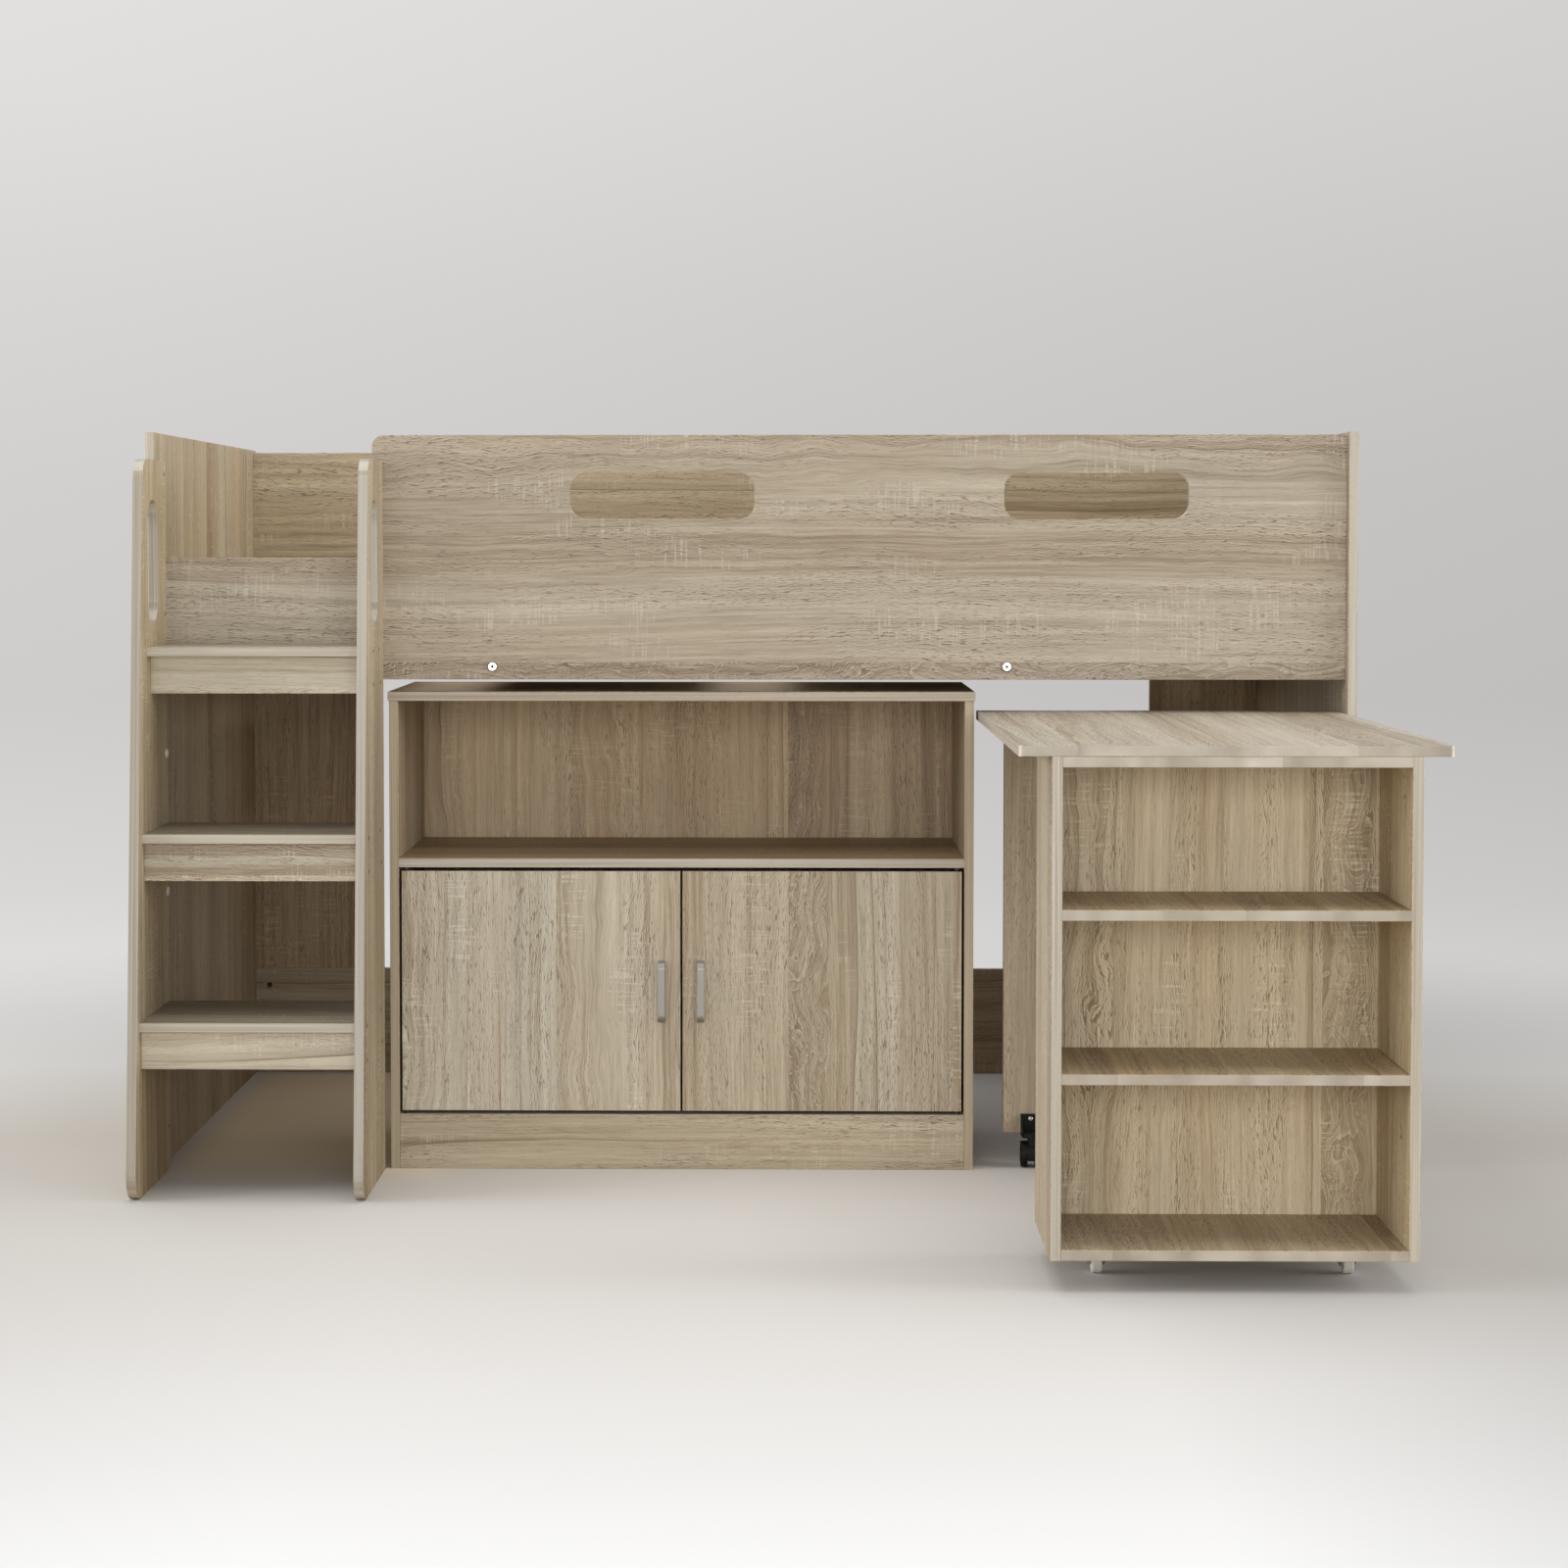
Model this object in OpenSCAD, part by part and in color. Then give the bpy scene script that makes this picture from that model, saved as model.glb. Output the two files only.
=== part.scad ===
// Cabin bed with a ladder, a free-standing cupboard and a roll-out desk.
// Working axes: X to the right from the left end panel's outer face, Y back from the end
// panels' front edges, Z up from the floor. at_origin() moves that to the middle of the
// whole object's footprint.

/* [Bed frame] */
// Overall length, over the two end panels
bed_l = 1960; // [1940:10:2060]
// Depth of each end panel, front to back
end_d = 985; // [975:1:1010]
// Height of each end panel
end_h = 1203; // [1190:1:1230]
// Thickness of every laminated board
board_t = 15; // [14:0.5:16]
// How far the front panel stands in from the end panels' front edges
front_setback = 20; // [12:1:20]
// How far the rear boards stand in from the end panels' rear edges
rear_setback = 20; // [12:1:20]
// Chamfer along the edges of every board
ease = 0.6; // [0.2:0.1:1]

/* [Front panel] */
// Underside of the front panel and the rear board
rail_z = 802; // [796:1:808]
// Height of the low part that the ladder leads over
entry_top = 1000; // [940:5:1040]
// Left end of the high guard part
guard_x = 366; // [360:1:380]
// Drop of the guard's top below the end panels' top
guard_drop = 4; // [2:1:20]
// Radius of the guard's free top corner
guard_r = 20; // [8:1:60]
// Length of each finger slot in the guard
slot_w = 299; // [200:1:340]
// Height of each finger slot
slot_h = 74; // [55:1:90]
// Corner radius of the finger slots
slot_r = 25; // [10:1:27]
// Height of the slots' middle above the floor
slot_z = 1100; // [1090:1:1110]
// Middle of the left slot along the bed
slot_x_left = 837.5; // [800:0.5:860]
// Middle of the right slot along the bed
slot_x_right = 1541; // [1500:1:1580]

/* [Rear] */
// Drop of the rear board's top below the end panels' top
rear_drop = 5; // [2:1:20]
// Width of each rear corner panel
corner_w = 205; // [150:5:260]
// Height of the rear bottom rail
bottom_rail_h = 203; // [150:1:240]
// Height of the cam locks in the rear bottom rail
cam_z = 170; // [100:1:185]

/* [Mattress support] */
// Height of the underside of the slat boards
slat_z = 843; // [840:1:848]
// Number of wide slat boards across the bed
slat_n = 4; // [3:1:4]
// Width of each slat board
slat_w = 387; // [340:1:420]
// Thickness of each slat board
slat_t = 15; // [12:1:18]
// Side of the square battens that carry the slats' ends
batten = 25; // [22:1:28]
// Thickness of each tie beam
beam_t = 27; // [22:1:30]
// Height of each tie beam
beam_h = 40; // [36:1:40]
// Middle of the left tie beam along the bed
beam_x_left = 561; // [520:1:600]
// Middle of the right tie beam along the bed
beam_x_right = 1396.7; // [1360:0.1:1440]
// Diameter of the connector bolts' heads
bolt_head_d = 15.6; // [12:0.1:18]

/* [Ladder] */
// Width of the ladder over both stiles
ladder_w = 368.2; // [360:0.1:370]
// Height of the stiles
stile_h = 1156; // [1140:1:1170]
// How far the stiles' foot stands in front of the end panels
stile_foot = 262; // [230:1:280]
// How far the stiles' top stands in front of the end panels
stile_head = 161.6; // [150:0.1:200]
// Radius of the stiles' rounded top corner
stile_top_r = 35; // [15:1:60]
// Radius of the stiles' rounded foot
stile_foot_r = 40; // [15:1:60]
// Top of the lowest tread
tread_z = 276; // [240:1:290]
// Rise from tread to tread
tread_rise = 292; // [260:1:295]
// Height of the risers and aprons under the treads
riser_h = 60; // [40:1:80]
// Width of the hand slot in each stile
hand_w = 82; // [60:1:90]
// Height of the hand slot in each stile
hand_h = 197; // [150:1:220]

/* [Cupboard] */
// Left side of the cupboard
cup_x = 392; // [390:1:420]
// Width of the cupboard over its sides
cup_w = 952; // [900:1:960]
// Depth of the cupboard's sides
cup_d = 370; // [300:5:450]
// Height of the cupboard
cup_h = 782; // [760:1:784]
// Top of the shelf above the doors
cup_shelf_z = 510; // [450:1:560]
// Height of the plinth
plinth_h = 90; // [60:1:110]
// Gap between each door and the cupboard's side
door_side_gap = 4.2; // [3:0.1:6]
// Gap between the two doors
door_mid_gap = 3.4; // [2:0.1:6]
// Gap above and below the doors
door_gap = 6; // [5:0.5:8]
// Length of the door handles
handle_l = 99.3; // [80:0.1:160]
// Width of the door handles
handle_w = 11; // [8:0.5:16]
// How far the door handles stand out
handle_out = 25; // [18:1:30]

/* [Desk] */
// Width of the desk top
desk_w = 590; // [560:1:590]
// Depth of the desk top
desk_d = 900; // [860:1:910]
// Height of the desk top
desk_h = 749; // [740:1:760]
// How far the desk is rolled out in front of the end panels
desk_out = 820; // [600:1:900]
// Radius of the desk top's front corners
desk_r = 8; // [2:1:30]
// Inset of the bookcase and the leg panel from the desk top's left edge
carcass_inset = 45.4; // [30:0.1:60]
// Width of the bookcase and the leg panel
carcass_w = 503; // [460:1:510]
// Depth of the bookcase
bookcase_d = 245; // [220:1:300]
// Top of the upper bookcase shelf
shelf_z_upper = 525.4; // [480:0.1:560]
// Top of the lower bookcase shelf
shelf_z_lower = 301; // [260:1:340]
// Height of the stretcher under the desk top
stretcher_h = 100; // [60:5:150]

/* [Castors] */
// Height of the front castors, which is the bookcase's height over the floor
castor_h = 45; // [45:1:48]
// Radius of the front castors' wheels
front_wheel_r = 17; // [15:0.5:17]
// Width of the front castors' wheels
front_wheel_w = 15; // [12:0.5:16]
// Trail of the front castors' wheels behind their swivel axis
front_trail = 12; // [10:0.5:13]
// Radius of the rear castors' twin wheels
rear_wheel_r = 20; // [18:0.5:20]
// Width over the rear castors' twin wheels
rear_castor_w = 34; // [32:0.5:40]
// Trail of the rear castors' wheels behind their swivel axis
rear_trail = 10; // [8:0.5:11]
// Gap between the leg panel and the floor
leg_z = 53.5; // [50:0.5:56]

/* [Hidden] */
$fn = 48;

oak = [0.72, 0.66, 0.56];
pine = [0.80, 0.71, 0.55];
steel = [0.78, 0.78, 0.80];
zinc = [0.70, 0.71, 0.73];
satin = [0.62, 0.62, 0.61];
black = [0.08, 0.08, 0.08];
pale_grey = [0.78, 0.78, 0.76];
nylon = [0.88, 0.88, 0.85];

fillet_steps = 8;
cut = 1;

// Frame, worked out from the sizes above
in_l = board_t;
in_r = bed_l - board_t;
front_y = front_setback;
mattress_y = front_y + board_t;
rear_back_y = end_d - rear_setback;
rear_y = rear_back_y - board_t;
guard_top = end_h - guard_drop;
rear_top = end_h - rear_drop;
slot_xs = [slot_x_left, slot_x_right];
beam_xs = [beam_x_left, beam_x_right];
beam_z = slat_z - beam_h / 2;
slat_gap = 1;

// Connector bolts and barrel nuts
bore_gap = 0.1;
shank_r = 3;
bolt_bore_r = shank_r + 0.2;
bolt_head_t = 2.5;
bolt_head_ease = 1.2;
bolt_bite = 50;
bolt_past_nut = -6;
barrel_r = 5;
barrel_l = 14;
barrel_in = 40;
barrel_bore_up = 8;
hex_r = 2.3;
hex_deep = 2;

// Ladder
stile_xl = in_l;
stile_xr = in_l + ladder_w - board_t;
tread_x0 = stile_xl + board_t;
tread_x1 = stile_xr;
tread_fronts = [-221, -190, -140];
riser_faces = [-208, -175, -111];
apron_y = -22.5;
hand_y = -87;
hand_z = 994;
step_screw_back = -31;
riser_screw_up = 14;
screw_r = 2.5;
screw_l = 50;
screw_head_r = 4;
screw_head_t = 3;
screw_hex_r = 2.1;
screw_tip_gap = 1;
frame_bolt_y = 10;
frame_bolt_zs = [682, 457];
frame_bolt_in = 10;
frame_hole_zs = [1135, 908, 71];
guard_bolt_zs = [1120, 905];
guard_bolt_in = 35;

// Cam locks of the rear bottom rail
cam_r = 5;
cam_t = 12;
cam_in = 26;
cam_slot = [7, 1.6];
cam_slot_deep = 2;
cam_dowel_r = 3;
cam_dowel_gap = 0.2;
cam_dowel_in = 9;

// Cupboard
cup_front = front_y;
cup_x1 = cup_x + cup_w;
cup_back_y = cup_front + cup_d;
cup_back_t = 3;
cup_overhang = 2;
door_z0 = plinth_h + door_gap;
door_z1 = cup_shelf_z - board_t - door_gap;
door_x0 = cup_x + board_t + door_side_gap;
door_x3 = cup_x1 - board_t - door_side_gap;
door_mid = (door_x0 + door_x3) / 2;
door_x1 = door_mid - door_mid_gap / 2;
door_x2 = door_mid + door_mid_gap / 2;
pivot_in = board_t / 2;
pivot_y = cup_front + board_t / 2;
pivot_xs = [door_x0 + pivot_in, door_x3 - pivot_in];
pin_r = 2.5;
bush_r = 4;
bush_bore_r = 2.55;
bush_deep = 10;
bush_floor = 2;
bush_flange_r = 5;
bush_flange_t = 2.7;
pin_deep = 15;
pin_end_gap = 1;
pin_top_gap = 0.5;
collar_t = 3;
collar_r = 4.5;
handle_in = 24.8;
handle_z = 243.6;
handle_t = 5;
handle_foot = 6;
handle_outer_bend = 12;
handle_inner_bend = 8;

// Desk
desk_x1 = bed_l - board_t - 4;
desk_x0 = desk_x1 - desk_w;
desk_y0 = -desk_out;
desk_y1 = desk_y0 + desk_d;
desk_under = desk_h - board_t;
carcass_x0 = desk_x0 + carcass_inset;
carcass_x1 = carcass_x0 + carcass_w;
shelf_x0 = carcass_x0 + board_t;
shelf_x1 = carcass_x1 - board_t;
bookcase_y1 = desk_y0 + bookcase_d;
shelf_y1 = bookcase_y1 - board_t;
leg_y = desk_y1 - board_t;
side_hole_y = desk_y0 + 40;
side_hole_z = 706;
side_hole_r = 2.5;
side_hole_deep = 10;

// Front castors
front_castor_in = 76;
front_wheel_in = 125;
front_castor_xs = [carcass_x0 + front_castor_in, carcass_x1 - front_castor_in];
front_swivel_y = desk_y0 + front_wheel_in - front_trail;
plate_side = 38;
plate_t = 2;
plate_hole_in = 5;
plate_hole_r = 2;
race_r = 12;
race_t = 2;
kingpin_r = 3;
rivet_r = 5;
rivet_t = 1.2;
crown_t = 3.6;
crown_gap = 0.4;
crown_z1 = castor_h - plate_t - race_t - crown_gap;
crown_z0 = crown_z1 - crown_t;
fork_w = 22;
fork_t = 2;
fork_eye_r = 5.5;
fork_lip = 2;
axle_r = 3;
axle_head = 1.5;
run = 0.05;
hub_wall = 2.5;
hub_out = 0.6;
face_in = 1.2;
wheel_shoulder = 3;

// Rear castors
rear_castor_in = 45;
rear_castor_xs = [carcass_x0 + rear_castor_in, carcass_x1 - rear_castor_in];
rear_swivel_y = leg_y - 26;
bracket_w = 32;
bracket_z = 50.7;
bracket_h = 34;
bracket_t = 5;
bracket_foot_t = 7;
bracket_screw_up = 26.2;
bracket_screw_r = 2.4;
gusset_t = 3;
gusset_down = 4;
stem_r = 4;
stem_z = 29;
stem_end_gap = 0.5;
neck_r = 6.7;
neck_z = 42;
neck_gap = 0.5;
socket_z = 24;
hood_r = 23;
hood_gap = 0.8;
hood_back = 12;
hood_z = 25;
web_w = 12.4;
web_z = 13;
web_bite = 1;
twin_w = 10.5;
twin_rim = 5;
twin_shoulder = 2.5;
twin_dish = 1.5;
twin_hub = 3;
twin_cap = 0.5;

// ---- helpers -------------------------------------------------------------------------

// Moves the working axes to the middle of the footprint, on the floor
module at_origin() {
    translate([-bed_l / 2, -(end_d - desk_out) / 2, 0]) children();
}

function unit(v) = v / norm(v);

// Points of the arc of radius r that rounds the corner p between its neighbours a and b
function fillet(a, p, b, r) =
    let (
        u = unit(a - p),
        v = unit(b - p),
        half = acos(u * v) / 2,
        middle = p + unit(u + v) * r / sin(half),
        from = p + u * r / tan(half) - middle,
        to = p + v * r / tan(half) - middle,
        start = atan2(from.y, from.x),
        turn = atan2(from.x * to.y - from.y * to.x, from * to)
    )
    [for (i = [0 : fillet_steps])
        let (angle = start + turn * i / fillet_steps)
        middle + r * [cos(angle), sin(angle)]];

// Where a line from p touches the circle of radius r round c, on its left (1) or right (-1)
function tangent(p, c, r, side) =
    let (
        reach = norm(c - p),
        angle = atan2(c.y - p.y, c.x - p.x) + side * asin(r / reach)
    )
    p + sqrt(reach * reach - r * r) * [cos(angle), sin(angle)];

// Eight-sided profile of a board w by h with its four edges eased
module eased(w, h) {
    e = ease;
    polygon([[e, 0], [w - e, 0], [w, e], [w, h - e], [w - e, h], [e, h], [0, h - e], [0, e]]);
}

// Prism with eased edges between two corners, its length along X, Y or Z
module bar_x(from, to) {
    size = to - from;
    translate(from) rotate([90, 0, 90]) linear_extrude(size.x) eased(size.y, size.z);
}
module bar_y(from, to) {
    size = to - from;
    translate([from.x, from.y, to.z]) rotate([-90, 0, 0])
        linear_extrude(size.y) eased(size.x, size.z);
}
module bar_z(from, to) {
    size = to - from;
    translate(from) linear_extrude(size.z) eased(size.x, size.y);
}

// Boards with eased edges round both faces; the name gives the plane that they lie in
module board_xy(from, to) {
    intersection() {
        bar_x(from, to);
        bar_y(from, to);
    }
}
module board_xz(from, to) {
    intersection() {
        bar_x(from, to);
        bar_z(from, to);
    }
}
module board_yz(from, to) {
    intersection() {
        bar_y(from, to);
        bar_z(from, to);
    }
}

// Cylinders along X and Y that start at a point
module rod_x(from, l, r) {
    translate(from) rotate([0, 90, 0]) cylinder(h = l, r = r);
}
module rod_y(from, l, r) {
    translate(from) rotate([-90, 0, 0]) cylinder(h = l, r = r);
}

// Outline in Y and Z, extruded along X from x to x + w
module slab_x(x, w) {
    translate([x, 0, 0]) rotate([90, 0, 90]) linear_extrude(w) children();
}

// ---- bed frame -----------------------------------------------------------------------

module end_panel(x) {
    board_yz([x, 0, 0], [x + board_t, end_d, end_h]);
}

module end_panel_left() color(oak) at_origin() difference() {
    end_panel(0);
    for (z = frame_bolt_zs)
        rod_x([in_l - frame_bolt_in - cut, frame_bolt_y, z], frame_bolt_in + 2 * cut, bolt_bore_r);
    rod_x([in_l - cam_dowel_in - cut, rear_y + board_t / 2, cam_z],
        cam_dowel_in + 2 * cut, cam_dowel_r + bore_gap);
}

module end_panel_right() color(oak) at_origin() difference() {
    end_panel(in_r);
    rod_x([in_r - cut, rear_y + board_t / 2, cam_z],
        cam_dowel_in + 2 * cut, cam_dowel_r + bore_gap);
}

// One L-shaped board: a low entry part at the ladder and a high guard with two slots
module front_outline() {
    inner_step = [guard_x, entry_top];
    free_corner = [guard_x, guard_top];
    far_corner = [in_r, guard_top];
    difference() {
        polygon(concat(
            [[in_l, rail_z], [in_r, rail_z], far_corner],
            fillet(far_corner, free_corner, inner_step, guard_r),
            [inner_step, [in_l, entry_top]]
        ));
        for (x = slot_xs) slot_outline(x);
    }
}

module slot_outline(x) {
    reach = [slot_w / 2 - slot_r, slot_h / 2 - slot_r];
    translate([x, slot_z]) {
        square([2 * reach.x, slot_h], center = true);
        square([slot_w, 2 * reach.y], center = true);
        for (i = [-1, 1], k = [-1, 1]) translate([i * reach.x, k * reach.y]) circle(slot_r);
    }
}

module front_panel() color(oak) at_origin() difference() {
    intersection() {
        translate([0, mattress_y, 0]) rotate([90, 0, 0]) linear_extrude(board_t) front_outline();
        union() {
            board_xz([in_l, front_y, rail_z], [in_r, mattress_y, entry_top]);
            board_xz([guard_x, front_y, rail_z], [in_r, mattress_y, guard_top]);
        }
    }
    for (x = beam_xs) rod_y([x, front_y - cut, beam_z], board_t + 2 * cut, bolt_bore_r);
    for (z = guard_bolt_zs)
        rod_y([stile_xr + board_t / 2, front_y - cut, z], board_t + 2 * cut, bolt_bore_r);
}

module rear_board() color(oak) at_origin() difference() {
    board_xz([in_l, rear_y, rail_z], [in_r, rear_back_y, rear_top]);
    for (x = beam_xs) rod_y([x, rear_y - cut, beam_z], board_t + 2 * cut, bolt_bore_r);
}

module rear_corner_panel(x) color(oak) at_origin() {
    board_xz([x, rear_y, bottom_rail_h], [x + corner_w, rear_back_y, rail_z]);
}

module rear_bottom_rail() color(oak) at_origin() difference() {
    board_xz([in_l, rear_y, 0], [in_r, rear_back_y, bottom_rail_h]);
    for (x = [in_l + cam_in, in_r - cam_in])
        rod_y([x, rear_y - cut, cam_z], cam_t + cut + bore_gap, cam_r + bore_gap);
    for (x = [in_l - cut, in_r - cam_in + cut])
        rod_x([x, rear_y + board_t / 2, cam_z], cam_in, cam_dowel_r + bore_gap);
}

// Cam with a slotted face, and the dowel that it draws in from the end panel
module cam_lock(x, side) {
    difference() {
        rod_y([x, rear_y, cam_z], cam_t, cam_r);
        translate([x - cam_slot.x / 2, rear_y - cut, cam_z - cam_slot.y / 2])
            cube([cam_slot.x, cam_slot_deep + cut, cam_slot.y]);
    }
    reach = cam_in - cam_r - cam_dowel_gap + cam_dowel_in;
    start = side < 0 ? in_l - cam_dowel_in : x + cam_r + cam_dowel_gap;
    rod_x([start, rear_y + board_t / 2, cam_z], reach, cam_dowel_r);
}

module cam_locks() color(steel) at_origin() {
    cam_lock(in_l + cam_in, -1);
    cam_lock(in_r - cam_in, 1);
}

// ---- mattress support ----------------------------------------------------------------

// The battens run in three lengths between the end panels and the tie beams
module slat_battens() color(pine) at_origin() {
    starts = [in_l, beam_x_left + beam_t / 2, beam_x_right + beam_t / 2];
    ends = [beam_x_left - beam_t / 2, beam_x_right - beam_t / 2, in_r];
    for (y = [mattress_y, rear_y - batten], i = [0 : 2])
        bar_x([starts[i], y, slat_z - batten], [ends[i], y + batten, slat_z]);
}

module tie_beams() color(pine) at_origin() for (x = beam_xs) difference() {
    bar_y([x - beam_t / 2, mattress_y, slat_z - beam_h], [x + beam_t / 2, rear_y, slat_z]);
    rod_y([x, mattress_y - cut, beam_z], bolt_bite + cut, bolt_bore_r);
    rod_y([x, rear_y - bolt_bite, beam_z], bolt_bite + cut, bolt_bore_r);
    for (y = [mattress_y + barrel_in, rear_y - barrel_in])
        translate([x, y, slat_z - beam_h - cut])
            cylinder(h = beam_h / 2 + barrel_bore_up + cut, r = barrel_r + bore_gap);
}

// Wide boards with gaps between them, the outer two against the end panels
module bed_slats() color(oak) at_origin() {
    first = in_l + slat_gap;
    pitch = (in_r - slat_gap - slat_w - first) / (slat_n - 1);
    for (i = [0 : slat_n - 1]) {
        x = first + i * pitch;
        board_xy([x, mattress_y + slat_gap, slat_z],
            [x + slat_w, rear_y - slat_gap, slat_z + slat_t]);
    }
}

// Bolt with a flat flanged head and a hex socket; it points along +Z from the head's seat
module connector_bolt(l) {
    head_r = bolt_head_d / 2;
    difference() {
        rotate_extrude() polygon([
            [0, -bolt_head_t], [head_r - bolt_head_ease, -bolt_head_t],
            [head_r, -bolt_head_t + bolt_head_ease], [head_r, 0],
            [shank_r, 0], [shank_r, l], [0, l]
        ]);
        translate([0, 0, -bolt_head_t - cut]) cylinder(h = hex_deep + cut, r = hex_r, $fn = 6);
    }
}

module connector_bolts() color(steel) at_origin() for (x = beam_xs) {
    l = board_t + barrel_in + bolt_past_nut;
    translate([x, front_y, beam_z]) rotate([-90, 0, 0]) connector_bolt(l);
    translate([x, rear_back_y, beam_z]) rotate([90, 0, 0]) connector_bolt(l);
}

// Each barrel nut lies across its bolt, with the bolt's tip just inside it
module barrel_nuts() color(steel) at_origin()
    for (x = beam_xs, y = [mattress_y + barrel_in, rear_y - barrel_in]) difference() {
        translate([x, y, beam_z - barrel_l / 2]) cylinder(h = barrel_l, r = barrel_r);
        rod_y([x, y - barrel_r - cut, beam_z], 2 * barrel_r + 2 * cut, shank_r);
    }

// ---- ladder --------------------------------------------------------------------------

module stile_outline() {
    foot = [-stile_foot, 0];
    head = [-stile_head, stile_h];
    back_foot = [front_y, 0];
    back_head = [front_y, stile_h];
    difference() {
        polygon(concat(
            [back_foot, back_head],
            fillet(back_head, head, foot, stile_top_r),
            fillet(head, foot, back_foot, stile_foot_r)
        ));
        hand_slot_outline();
    }
}

module hand_slot_outline() {
    straight = hand_h - hand_w;
    translate([hand_y, hand_z]) {
        square([hand_w, straight], center = true);
        for (k = [-1, 1]) translate([0, k * straight / 2]) circle(hand_w / 2);
    }
}

// Places where each step's boards are screwed through the stiles, as [y, z]
function step_screws(i) =
    let (
        top = tread_z + i * tread_rise,
        tread_mid = top - board_t / 2,
        low = top - board_t - riser_h + riser_screw_up,
        riser_mid = riser_faces[i] + board_t / 2,
        apron_mid = apron_y + board_t / 2
    )
    [[riser_mid, tread_mid], [step_screw_back, tread_mid], [riser_mid, low], [apron_mid, low]];

module screw_holes(x, l) {
    for (i = [0 : 2], p = step_screws(i)) rod_x([x, p[0], p[1]], l, screw_r + bore_gap);
}

module head_sinks(x) {
    for (i = [0 : 2], p = step_screws(i))
        rod_x([x, p[0], p[1]], screw_head_t + bore_gap + cut, screw_head_r + bore_gap);
}

module ladder_stile_left() color(oak) at_origin() difference() {
    slab_x(stile_xl, board_t) stile_outline();
    screw_holes(stile_xl - cut, board_t + 2 * cut);
    head_sinks(stile_xl - cut);
    for (z = concat(frame_bolt_zs, frame_hole_zs))
        rod_x([stile_xl - cut, frame_bolt_y, z], board_t + 2 * cut, bolt_bore_r);
}

module ladder_stile_right() color(oak) at_origin() difference() {
    slab_x(stile_xr, board_t) stile_outline();
    screw_holes(stile_xr - cut, board_t + 2 * cut);
    head_sinks(stile_xr + board_t - screw_head_t - bore_gap);
    for (z = guard_bolt_zs)
        rod_y([stile_xr + board_t / 2, front_y - guard_bolt_in - cut, z],
            guard_bolt_in + 2 * cut, bolt_bore_r);
}

module ladder_tread(i) color(oak) at_origin() difference() {
    top = tread_z + i * tread_rise;
    board_xy([tread_x0, tread_fronts[i], top - board_t], [tread_x1, front_y, top]);
    step_bores(i);
}

module ladder_riser(i) color(oak) at_origin() difference() {
    z1 = tread_z + i * tread_rise - board_t;
    board_xz([tread_x0, riser_faces[i], z1 - riser_h], [tread_x1, riser_faces[i] + board_t, z1]);
    step_bores(i);
}

module ladder_apron(i) color(oak) at_origin() difference() {
    z1 = tread_z + i * tread_rise - board_t;
    board_xz([tread_x0, apron_y, z1 - riser_h], [tread_x1, apron_y + board_t, z1]);
    step_bores(i);
}

// Bores for the screws in the two ends of one step's boards
module step_bores(i) {
    deep = screw_l - board_t + screw_tip_gap;
    for (p = step_screws(i)) {
        rod_x([tread_x0 - cut, p[0], p[1]], deep + cut, screw_r + bore_gap);
        rod_x([tread_x1 - deep, p[0], p[1]], deep + cut, screw_r + bore_gap);
    }
}

// Cylinder-head screw with a hex socket, along +X from its head's outer face
module step_screw() {
    difference() {
        union() {
            rod_x([0, 0, 0], screw_head_t, screw_head_r);
            rod_x([screw_head_t, 0, 0], screw_l - screw_head_t, screw_r);
        }
        translate([-cut, 0, 0]) rotate([0, 90, 0])
            cylinder(h = hex_deep + cut, r = screw_hex_r, $fn = 6);
    }
}

module ladder_screws() color(steel) at_origin() for (i = [0 : 2], p = step_screws(i)) {
    translate([stile_xl, p[0], p[1]]) step_screw();
    translate([stile_xr + board_t, p[0], p[1]]) mirror([1, 0, 0]) step_screw();
}

// Two bolts hold the left stile to its end panel, and two hold the right one to the guard
module ladder_bolts() color(steel) at_origin() {
    for (z = frame_bolt_zs) translate([stile_xl + board_t, frame_bolt_y, z])
        rotate([0, -90, 0]) connector_bolt(board_t + frame_bolt_in);
    for (z = guard_bolt_zs) translate([stile_xr + board_t / 2, mattress_y, z])
        rotate([90, 0, 0]) connector_bolt(board_t + guard_bolt_in);
}

// ---- cupboard ------------------------------------------------------------------------

module cupboard_side(x) color(oak) at_origin() {
    board_yz([x, cup_front, 0], [x + board_t, cup_back_y, cup_h - board_t]);
}

module cupboard_top() color(oak) at_origin() {
    board_xy([cup_x - cup_overhang, cup_front - cup_overhang, cup_h - board_t],
        [cup_x1 + cup_overhang, cup_back_y + cup_back_t + cup_overhang, cup_h]);
}

module cupboard_shelf() color(oak) at_origin() difference() {
    board_xy([cup_x + board_t, cup_front, cup_shelf_z - board_t],
        [cup_x1 - board_t, cup_back_y, cup_shelf_z]);
    for (x = pivot_xs) translate([x, pivot_y, cup_shelf_z - board_t - cut])
        cylinder(h = bush_deep + cut, r = bush_r);
}

module cupboard_bottom() color(oak) at_origin() {
    board_xy([cup_x + board_t, cup_front + board_t, plinth_h - board_t],
        [cup_x1 - board_t, cup_back_y, plinth_h]);
}

module cupboard_plinth() color(oak) at_origin() difference() {
    board_xz([cup_x + board_t, cup_front, 0], [cup_x1 - board_t, cup_front + board_t, plinth_h]);
    for (x = pivot_xs) translate([x, pivot_y, plinth_h - bush_deep])
        cylinder(h = bush_deep + cut, r = bush_r);
}

module cupboard_back() color(oak) at_origin() {
    translate([cup_x, cup_back_y, 0]) cube([cup_w, cup_back_t, cup_h - board_t]);
}

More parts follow.
